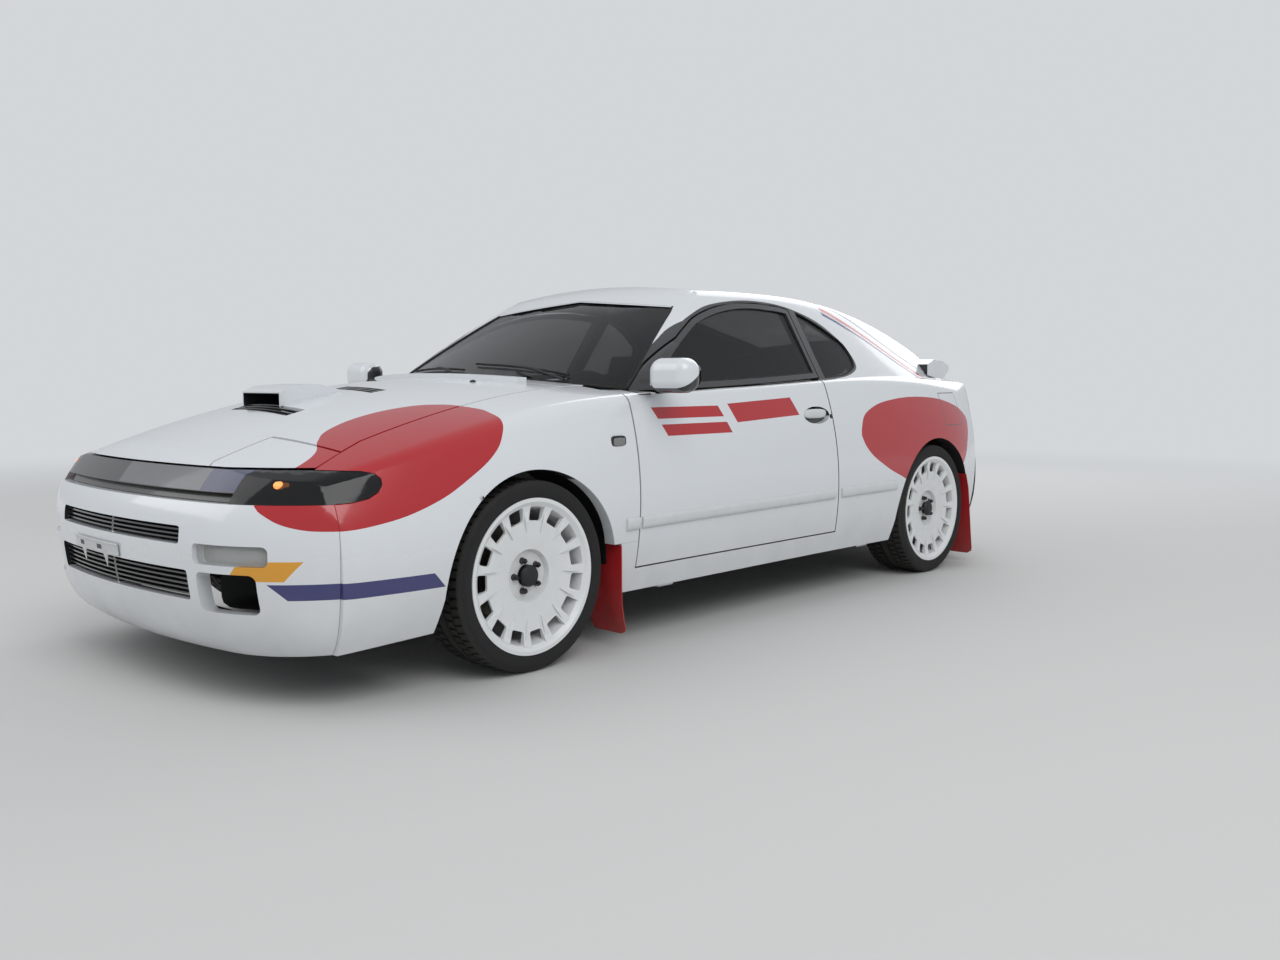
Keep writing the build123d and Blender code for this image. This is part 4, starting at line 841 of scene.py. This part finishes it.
bumper_face = tree_of("front_bumper")
mesh_pitch, mesh_inset, mouth_rim = 0.011, 0.034, 0.022
for label, half, low_z, high_z in (("upper", 0.396, 0.462, 0.508), ("lower", 0.426, 0.307, 0.388)):
    count, rows = int(2 * half / mesh_pitch), max(3, round((high_z - low_z) / mesh_pitch))
    points, edges = [], []
    for i in range(count + 1):
        across = -half + 2 * half * i / count
        top = from_ahead(bumper_face, across, high_z + mouth_rim)
        foot = from_ahead(bumper_face, across, low_z - mouth_rim)
        for j in range(rows + 1):
            depth = foot.x + (top.x - foot.x) * j / rows - mesh_inset
            points.append((depth, across, low_z + (high_z - low_z) * j / rows))
            if i < count and j < rows:
                here = i * (rows + 1) + j
                edges += [(here, here + rows + 2), (here + 1, here + rows + 1)]
    mesh = bpy.data.meshes.new("intake_wire")
    mesh.from_pydata(points, edges, [])
    tube_along(f"intake_mesh_{label}", mesh, 0.0011, 4, arm_steel, "body", "trim_black")


# Brake ducts: black moulded funnels behind the lower openings at the bumper's corners. Between them the
# empty pressed bracket of a plate, and two washer nozzles on the bonnet.

duct_steps = ((0.0, 1.0), (0.030, 0.97), (0.070, 0.84), (0.110, 0.66), (0.118, 0.50))
nozzle_profile = ((-0.002, 0.0110), (0.003, 0.0105), (0.006, 0.0075), (0.0075, 0.0004))
for hand, sign in hands:
    bm = bmesh.new()
    rings = []
    for depth, share in duct_steps:
        ring = []
        for c, s in rounded(5, 28):
            across, up = 0.565 + 0.094 * share * c, 0.335 + 0.054 * share * s
            ring.append(bm.verts.new((2.098 - 0.45 * (across - 0.47) - depth, sign * across, up)))
        rings.append(ring)
    for near, off in zip(rings, rings[1:]):
        bridge(bm, near, off)
    bm.faces.new(rings[-1])
    mesh = mesh_from("brake_duct" + hand, bm, sharp=50, thickness=0.002)
    show("brake_duct" + hand, mesh, black_abs, "body")
    nozzle_place = on_surface(tree_of("bonnet"), (1.06, sign * 0.30, 1.5), (0, 0, -1))
    lathe_form("washer_nozzle" + hand, nozzle_profile, nozzle_place, black_abs, "bonnet",
               (0.1, 0, 1), 16)
bracket_steel = Look("bracket_enamelled_steel", "D3D5D6", 0.35)
slots = within(bracket_steel.y, -0.212, -0.180) + within(bracket_steel.y, -0.075, -0.040)
bracket_steel.paint("D3D5D6", (bracket_steel.noise(30.0, 6.0) * 0.35, "77736B"),
                    (slots * within(bracket_steel.z, 0.404, 0.418), "121314"))
bracket_top, bracket_foot, bracket_low, bracket_rise = 0.420, 0.290, 0.392, 0.040
tab_places, tab_width, tab_drop = (-0.185, -0.015), 0.009, 0.040
bm = bmesh.new()
rows = []
for i in range(49):
    across = -0.255 + 0.330 * i / 48
    top, foot = (from_ahead(bumper_face, across, height) for height in (bracket_top, bracket_foot))
    tab = tab_drop * sum(math.exp(-(((across - spot) / tab_width) ** 2)) for spot in tab_places)
    row = []
    for j in range(9):
        share = j / 8
        proud = 0.008 if j in (1, 7) else 0.006
        height = bracket_low + bracket_rise * share - tab * (1.0 - share) ** 2
        slope = (height - bracket_foot) / (bracket_top - bracket_foot)
        row.append(bm.verts.new((foot.x + (top.x - foot.x) * slope + proud, across, height)))
    rows.append(row)
for first, second in zip(rows, rows[1:]):
    bridge(bm, first, second, closed=False)
mesh = mesh_from("plate_bracket", bm, sharp=40, thickness=0.0015)
show("plate_bracket", mesh, bracket_steel, "body")


# The side trim: a white strip of extruded PVC bonded along each side, cut at the door's edges.

pvc = Look("pvc_white", "D9DCDE", 0.42)
pvc.paint("D9DCDE", (pvc.noise(24.0, 6.0) * 0.22, "8F897E"))
pvc.relief(0.15, 0.0005, pvc.noise(500.0))
strip_profile = ((-0.021, -0.003), (-0.021, 0.004), (-0.017, 0.0085), (-0.007, 0.0105), (0.007, 0.0105),
                 (0.017, 0.0085), (0.021, 0.004), (0.021, -0.003))
strip_probe = 0.017


def side_strip(name, surface, sign, start, stop, body):
    """A length of trim laid on the side between two stations."""
    bm = bmesh.new()
    rows = []
    count = max(4, int(abs(stop - start) / 0.03))
    for i in range(count + 1):
        along = start + (stop - start) * i / count
        middle = 0.442 - 0.014 * (along + 0.885) / 1.77
        swell = 0.75 if i in (0, count) else 1.0
        spots = [from_side(surface, sign, along, middle + rise) for rise in (-strip_probe, 0.0, strip_probe)]
        if None in spots:
            continue
        below, level, above = spots
        row = []
        for rise, proud in strip_profile:
            step = above - level if rise > 0 else level - below
            base = level + step * (rise / strip_probe)
            row.append(bm.verts.new((along, base.y + sign * proud * swell, middle + rise)))
        rows.append(row)
    for first, second in zip(rows, rows[1:]):
        bridge(bm, first, second, closed=False)
    bm.faces.new(rows[0])
    bm.faces.new(rows[-1])
    show(name, mesh_from(name, bm, sharp=40), pvc, body)


# On the sides as well: the door handles, painted zinc flaps over their bowls, and an amber repeater under
# a lens on each wing, in a black plastic frame.

for hand, sign in hands:
    door_side, frame_side, wing_side = (tree_of(n + hand) for n in ("door", "side_frame", "front_fender"))
    side_strip("trim_door" + hand, door_side, sign, -0.428, 0.790, "door" + hand)
    side_strip("trim_quarter" + hand, frame_side, sign, -0.882, -0.446, "body")
    side_strip("trim_wing" + hand, wing_side, sign, 0.802, 0.868, "body")
    above, below = (from_side(door_side, sign, -0.29, height).y for height in (0.808, 0.722))
    handle_y = above + (below - above) * 0.42 - sign * 0.006
    domed_plate("door_handle" + hand, (-0.285, handle_y, 0.772), 0.079, 0.019, 0.011, sign, pvc, "door" + hand,
                power=3.2)
    lock_y = from_side(door_side, sign, -0.392, 0.758).y
    domed_plate("door_lock" + hand, (-0.392, lock_y, 0.758), 0.010, 0.010, 0.003, sign, zinc, "door" + hand,
                power=2.0, spokes=20)
    lamp_y = from_side(wing_side, sign, 0.884, 0.705).y
    domed_plate("repeater_frame" + hand, (0.884, lamp_y, 0.705), 0.035, 0.021, 0.0035, sign, black_abs, "body",
                power=4.0)
    domed_plate("repeater_lens" + hand, (0.884, lamp_y + sign * 0.002, 0.705), 0.028, 0.015, 0.006, sign, clear,
                "body", power=4.0)


# Mirrors: silvered glass in each shell, tinted by the sky it shows, over a rubber boot at its foot.

silver = Look("silvered_glass", "B9C0C6", 0.04, 1.0)
silver.set(Roughness=silver.noise(18.0, 5.0).mapped(0.0, 1.0, 0.02, 0.10))
glass_y, glass_z, glass_thick = 0.922, 0.926, 0.002
for hand, sign in hands:
    bm = bmesh.new()
    ring = [bm.verts.new((0.6385, sign * (glass_y + 0.068 * c), glass_z + 0.040 * s))
            for c, s in rounded(4, 36)]
    front = []
    for vertex in ring:
        inward = Vector((vertex.co.x, sign * glass_y, glass_z)) - vertex.co
        front.append(bm.verts.new(vertex.co + Vector((-glass_thick, 0, 0)) + inward * 0.04))
    bridge(bm, ring, front)
    bm.faces.new(front)
    bm.faces.new(ring[::-1])
    mesh = mesh_from("mirror_glass" + hand, bm, smooth=False)
    show("mirror_glass" + hand, mesh, silver, "door" + hand)
    domed_plate("mirror_boot" + hand, (0.690, sign * 0.835, 0.899), 0.030, 0.010, 0.008, sign, black_abs,
                "door" + hand, power=2.6)


# Front seats: foam pads in a dark woven cloth over a steel frame and a moulded shell. Each pad is cut,
# swollen by its foam and drawn in at its seams.

cloth = Look("wool_cloth_charcoal", "26282C", 0.92, Sheen_Weight=0.25, Sheen_Roughness=0.5)
# Plain weave: threads really 1.2 mm apart, drawn 4 mm apart so that they show
weave = cloth.y.waves(0.004) * (cloth.x + cloth.z).waves(0.004)
cloth.paint("1E2024", (weave * 0.12 + cloth.noise(60.0, 6.0) * 0.5, "3B3E44"))
cloth.relief(0.4, 0.0008, weave)
pad_voxel, quick_voxel, foam_pressure, foam_frames, seam_width = 0.006, 2.2, 4.0, 20, 0.010


def rounded_block(half, offset, segments, profile):
    """A block about the origin from its half sizes, with its edges rounded."""
    bm = bmesh.new()
    bmesh.ops.create_cube(bm, size=2.0)
    for vertex in bm.verts:
        vertex.co = Vector([c * h for c, h in zip(vertex.co, half)])
    bmesh.ops.bevel(bm, geom=bm.edges[:], offset=offset, segments=segments, profile=profile, affect="EDGES")
    return bm


def leaned(own, middle, turn):
    """A point in a form's own axes, leaned about Y by degrees and brought to the form's middle."""
    lean = math.radians(turn)
    return Vector((middle[0] + own.x * math.cos(lean) + own.z * math.sin(lean), middle[1] + own.y,
                   middle[2] - own.x * math.sin(lean) + own.z * math.cos(lean)))


def foamed(piece, swell):
    """The pad's mesh swollen by a cloth simulation under pressure, no point by more than its swell."""
    before = [v.co.copy() for v in piece.data.vertices]
    foam = piece.modifiers.new("foam", "CLOTH")
    foam.settings.use_pressure = True
    foam.settings.uniform_pressure_force = foam_pressure
    foam.settings.effector_weights.gravity = 0.0
    foam.settings.quality = 4
    foam.collision_settings.use_collision = False
    foam.point_cache.frame_start, foam.point_cache.frame_end = 1, foam_frames
    for step in range(1, foam_frames + 1):
        bpy.context.scene.frame_set(step)
    settle(piece)
    bpy.context.scene.frame_set(1)
    for vertex, was in zip(piece.data.vertices, before):
        move = vertex.co - was
        if move.length > swell:
            vertex.co = was + move * (swell / move.length)


def finish_pad(piece):
    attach(piece, "body")
    return piece


def pad(name, middle, half, turn, swell, channels=()):
    """A foam pad: a rounded block, swollen by its foam and pinched along its sewn channels.

    middle is its place, half its half sizes along its own axes, turn its lean about Y in degrees. A channel
    has an axis, a place along it and a depth.
    """
    bm = rounded_block(half, min(half) * 0.55, 4, 0.6)
    piece = placed(name, mesh_from(name, bm, smooth=False))
    remesh = piece.modifiers.new("remesh", "REMESH")
    remesh.mode, remesh.voxel_size = "VOXEL", pad_voxel * 1.0
    settle(piece)
    foamed(piece, swell)
    lying = half[2] < half[0]
    for vertex in piece.data.vertices:
        own = vertex.co
        for axis, spot, depth in channels:
            if own.z > 0.2 * half[2] if lying else own.x > 0.0:
                own[2 if lying else 0] -= depth * math.exp(-(((own[axis] - spot) / seam_width) ** 2))
        vertex.co = leaned(own, middle, turn)
    piece.data.shade_smooth()
    dress(piece.data, cloth)
    return finish_pad(piece)


def copy_across(piece, shift):
    """A second pad of the same shape on the other side of the car."""
    mesh = piece.data.copy()
    for vertex in mesh.vertices:
        vertex.co.y += shift
    finish_pad(placed(piece.name.replace("_left", "_right"), mesh))


seat_y = 0.34
cushion_seams = ((1, -0.09, 0.010), (1, 0.09, 0.010), (0, -0.05, 0.010))
back_seams = ((1, -0.08, 0.010), (1, 0.08, 0.010), (2, 0.05, 0.010))
pad_table = (
    ("seat_cushion", (0.100, seat_y, 0.382), (0.225, 0.142, 0.042), -4.0, 0.012, cushion_seams),
    ("seat_bolster_near", (0.110, 0.508, 0.392), (0.215, 0.036, 0.050), -4.0, 0.008, ()),
    ("seat_bolster_far", (0.110, 0.172, 0.392), (0.215, 0.036, 0.050), -4.0, 0.008, ()),
    ("seat_back", (-0.262, seat_y, 0.675), (0.034, 0.140, 0.235), -22.0, 0.012, back_seams),
    ("seat_back_near", (-0.250, 0.505, 0.665), (0.046, 0.040, 0.225), -22.0, 0.008, ()),
    ("seat_back_far", (-0.250, 0.175, 0.665), (0.046, 0.040, 0.225), -22.0, 0.008, ()),
    ("seat_headrest", (-0.410, seat_y, 0.970), (0.034, 0.100, 0.046), -22.0, 0.008, ()),
)
for hand, sign in hands:
    middle = sign * seat_y
    posts = [[(-0.345, middle + off, 0.86), (-0.400, middle + off, 0.955)] for off in (-0.045, 0.045)]
    tube_along("seat_posts" + hand, path_mesh("seat_posts", *posts), 0.0065, 10, chrome, "body", "steel_black")
    rails = []
    for across in (middle - 0.17, middle + 0.17):
        rails += [[(start, across, 0.225), (stop, across, height)] for start, stop, height in (
            (-0.13, 0.29, 0.225), (-0.10, -0.11, 0.345), (0.26, 0.27, 0.345))]
    tube_along("seat_rails" + hand, path_mesh("seat_rails", *rails), 0.0095, 8, arm_steel, "body",
               "steel_black")
    for label, centre, half, turn in (
        ("seat_pan", (0.095, middle, 0.334), (0.235, 0.205, 0.014), -4.0),
        ("seat_shell", (-0.300, middle, 0.660), (0.014, 0.190, 0.245), -22.0),
    ):
        bm = rounded_block(half, 0.010, 3, 0.5)
        for vertex in bm.verts:
            vertex.co = leaned(vertex.co, centre, turn)
        piece = show(label + hand, mesh_from(label + hand, bm), black_abs, "body")
        if label == "seat_shell":
            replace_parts(piece, "front_seat" + hand)
pads = [pad(label + "_left", *sizes) for label, *sizes in pad_table]
for one in pads:
    copy_across(one, -2 * seat_y)


# Rear seat: two foam pads in the same cloth, sewn with a channel down the middle.

rear_seams = ((1, 0.0, 0.014), (1, -0.21, 0.008), (1, 0.21, 0.008))
for name, *sizes in (
    ("rear_cushion", (-0.700, 0.0, 0.432), (0.125, 0.415, 0.036), 4.0, 0.010, rear_seams),
    ("rear_backrest", (-0.850, 0.0, 0.622), (0.030, 0.415, 0.165), -33.0, 0.010, rear_seams),
):
    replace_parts(pad(name, *sizes), "rear_seat")


# Inside and underneath: each CAD piece keeps its shape and is given its own metal, plastic or leather.

leather = Look("leather_black", "151414", 0.55)
# Grain of the hide, cells 1.5 mm, polished by hands in patches
leather.relief(0.4, 0.0006, leather.cells(620.0))
leather.set(Roughness=leather.noise(12.0, 3.0).mapped(0.0, 1.0, 0.40, 0.70))
seal_coat = Look("bitumen_underseal", "17171A", 0.88)
# Sprayed underseal: lumps of about 4 mm, with dry mud thrown up in patches
seal_coat.relief(0.7, 0.002, seal_coat.noise(160.0, 4.0))
seal_coat.paint("17171A", (seal_coat.noise(5.0, 8.0).mapped(0.45, 0.75, 0.0, 0.5), "4F473C"))
bay_paint = Look("primer_coat_grey", "B9BCBE", 0.6)
# Thin body colour over primer, dulled by dust; the radiator at the front is black with fins 6 mm apart
core = bay_paint.x > 1.86
arch = (bay_paint.side > 0.60) * (bay_paint.z < 0.66)
bay_paint.paint("B9BCBE", (bay_paint.noise(8.0, 7.0) * 0.5, "6F6B64"), (core, "1D1E20"), (arch, "1A1A1C"))
bay_paint.relief(0.6, 0.002, bay_paint.y.waves(0.006) * core)
alloy = Look("aluminium_sand_cast", "8C8E90", 0.5, 0.9)
cover = alloy.z > 0.62
alloy.relief(0.5, 0.002, alloy.noise(380.0, 3.0) + alloy.x.waves(0.05) * cover)
alloy.paint("8C8E90", (alloy.noise(9.0, 7.0) * 0.7, "3A352E"), (cover, "232427"))
stainless = Look("stainless_heat_tinted", "8B857C", 0.36, 1.0)
# Straw and blue temper colours near the engine, road film towards the tail
blotch = stainless.noise(18.0, 6.0)
heated = stainless.x.mapped(-0.2, 0.9, 0.0, 0.8) * blotch
stainless.paint("8B857C", (heated, "6A5A7A"), (blotch * 0.5, "5D554A"))
stainless.set(Roughness=blotch.mapped(0.0, 1.0, 0.25, 0.65))
for name, look in (
    ("dashboard", black_abs), ("steering_wheel", leather), ("floor_pan", seal_coat),
    ("front_structure", bay_paint), ("front_subframe", arm_steel), ("rear_suspension", arm_steel),
    ("propshaft", arm_steel), ("engine_block", alloy), ("exhaust", stainless),
):
    dress(nodes[name].data, look)


# The stage: a pale floor, soft light from above and in front, and a pale surround. Far from the car the
# floor turns into the even tone of the surround, so that no horizon shows.

bpy.ops.mesh.primitive_plane_add(size=160, location=(0, 0, 0))
floor = bpy.context.object
floor.name = "floor"
paper = Look("paper_backdrop", "CFCFCD", 0.9)
surround = linear("D3D6D9")
distance = (paper.x * paper.x + paper.y * paper.y).calc("SQRT")
far = distance.mapped(3.6, 11.0, interpolation_type="SMOOTHSTEP")
even = add_node(paper.tree, "ShaderNodeEmission", {0: surround, 1: 1.0})
blend = add_node(paper.tree, "ShaderNodeMixShader", {0: far, 1: paper.shader.outputs[0], 2: even.outputs[0]})
paper.tree.links.new(blend.outputs[0], paper.tree.nodes["Material Output"].inputs["Surface"])
floor.data.materials.append(paper.material)
world = bpy.data.worlds.new("world")
bpy.context.scene.world = world
world.use_nodes = True
tree = world.node_tree
sky = tree.nodes["Background"]
sky.inputs[0].default_value = linear("E9EDF2")
sky.inputs[1].default_value = 0.62
seen = add_node(tree, "ShaderNodeBackground", {0: surround, 1: 1.0})
rays = add_node(tree, "ShaderNodeLightPath")
blend = add_node(tree, "ShaderNodeMixShader", {
    0: rays.outputs["Is Camera Ray"], 1: sky.outputs[0], 2: seen.outputs[0]})
tree.links.new(blend.outputs[0], tree.nodes["World Output"].inputs["Surface"])
for name, where, size, power in (
    ("key", (3, 7, 7), 6, 330), ("fill", (6, -4, 5), 6, 140), ("back", (-7, -2, 5), 6, 170),
):
    lamp_data = bpy.data.lights.new(name, "AREA")
    lamp_data.size, lamp_data.energy = size, power
    lamp = bpy.data.objects.new(name, lamp_data)
    bpy.context.scene.collection.objects.link(lamp)
    lamp.location = where
    lamp.rotation_mode = "QUATERNION"
    lamp.rotation_quaternion = (Vector((0, 0, 0.5)) - Vector(where)).to_track_quat("-Z", "Y")
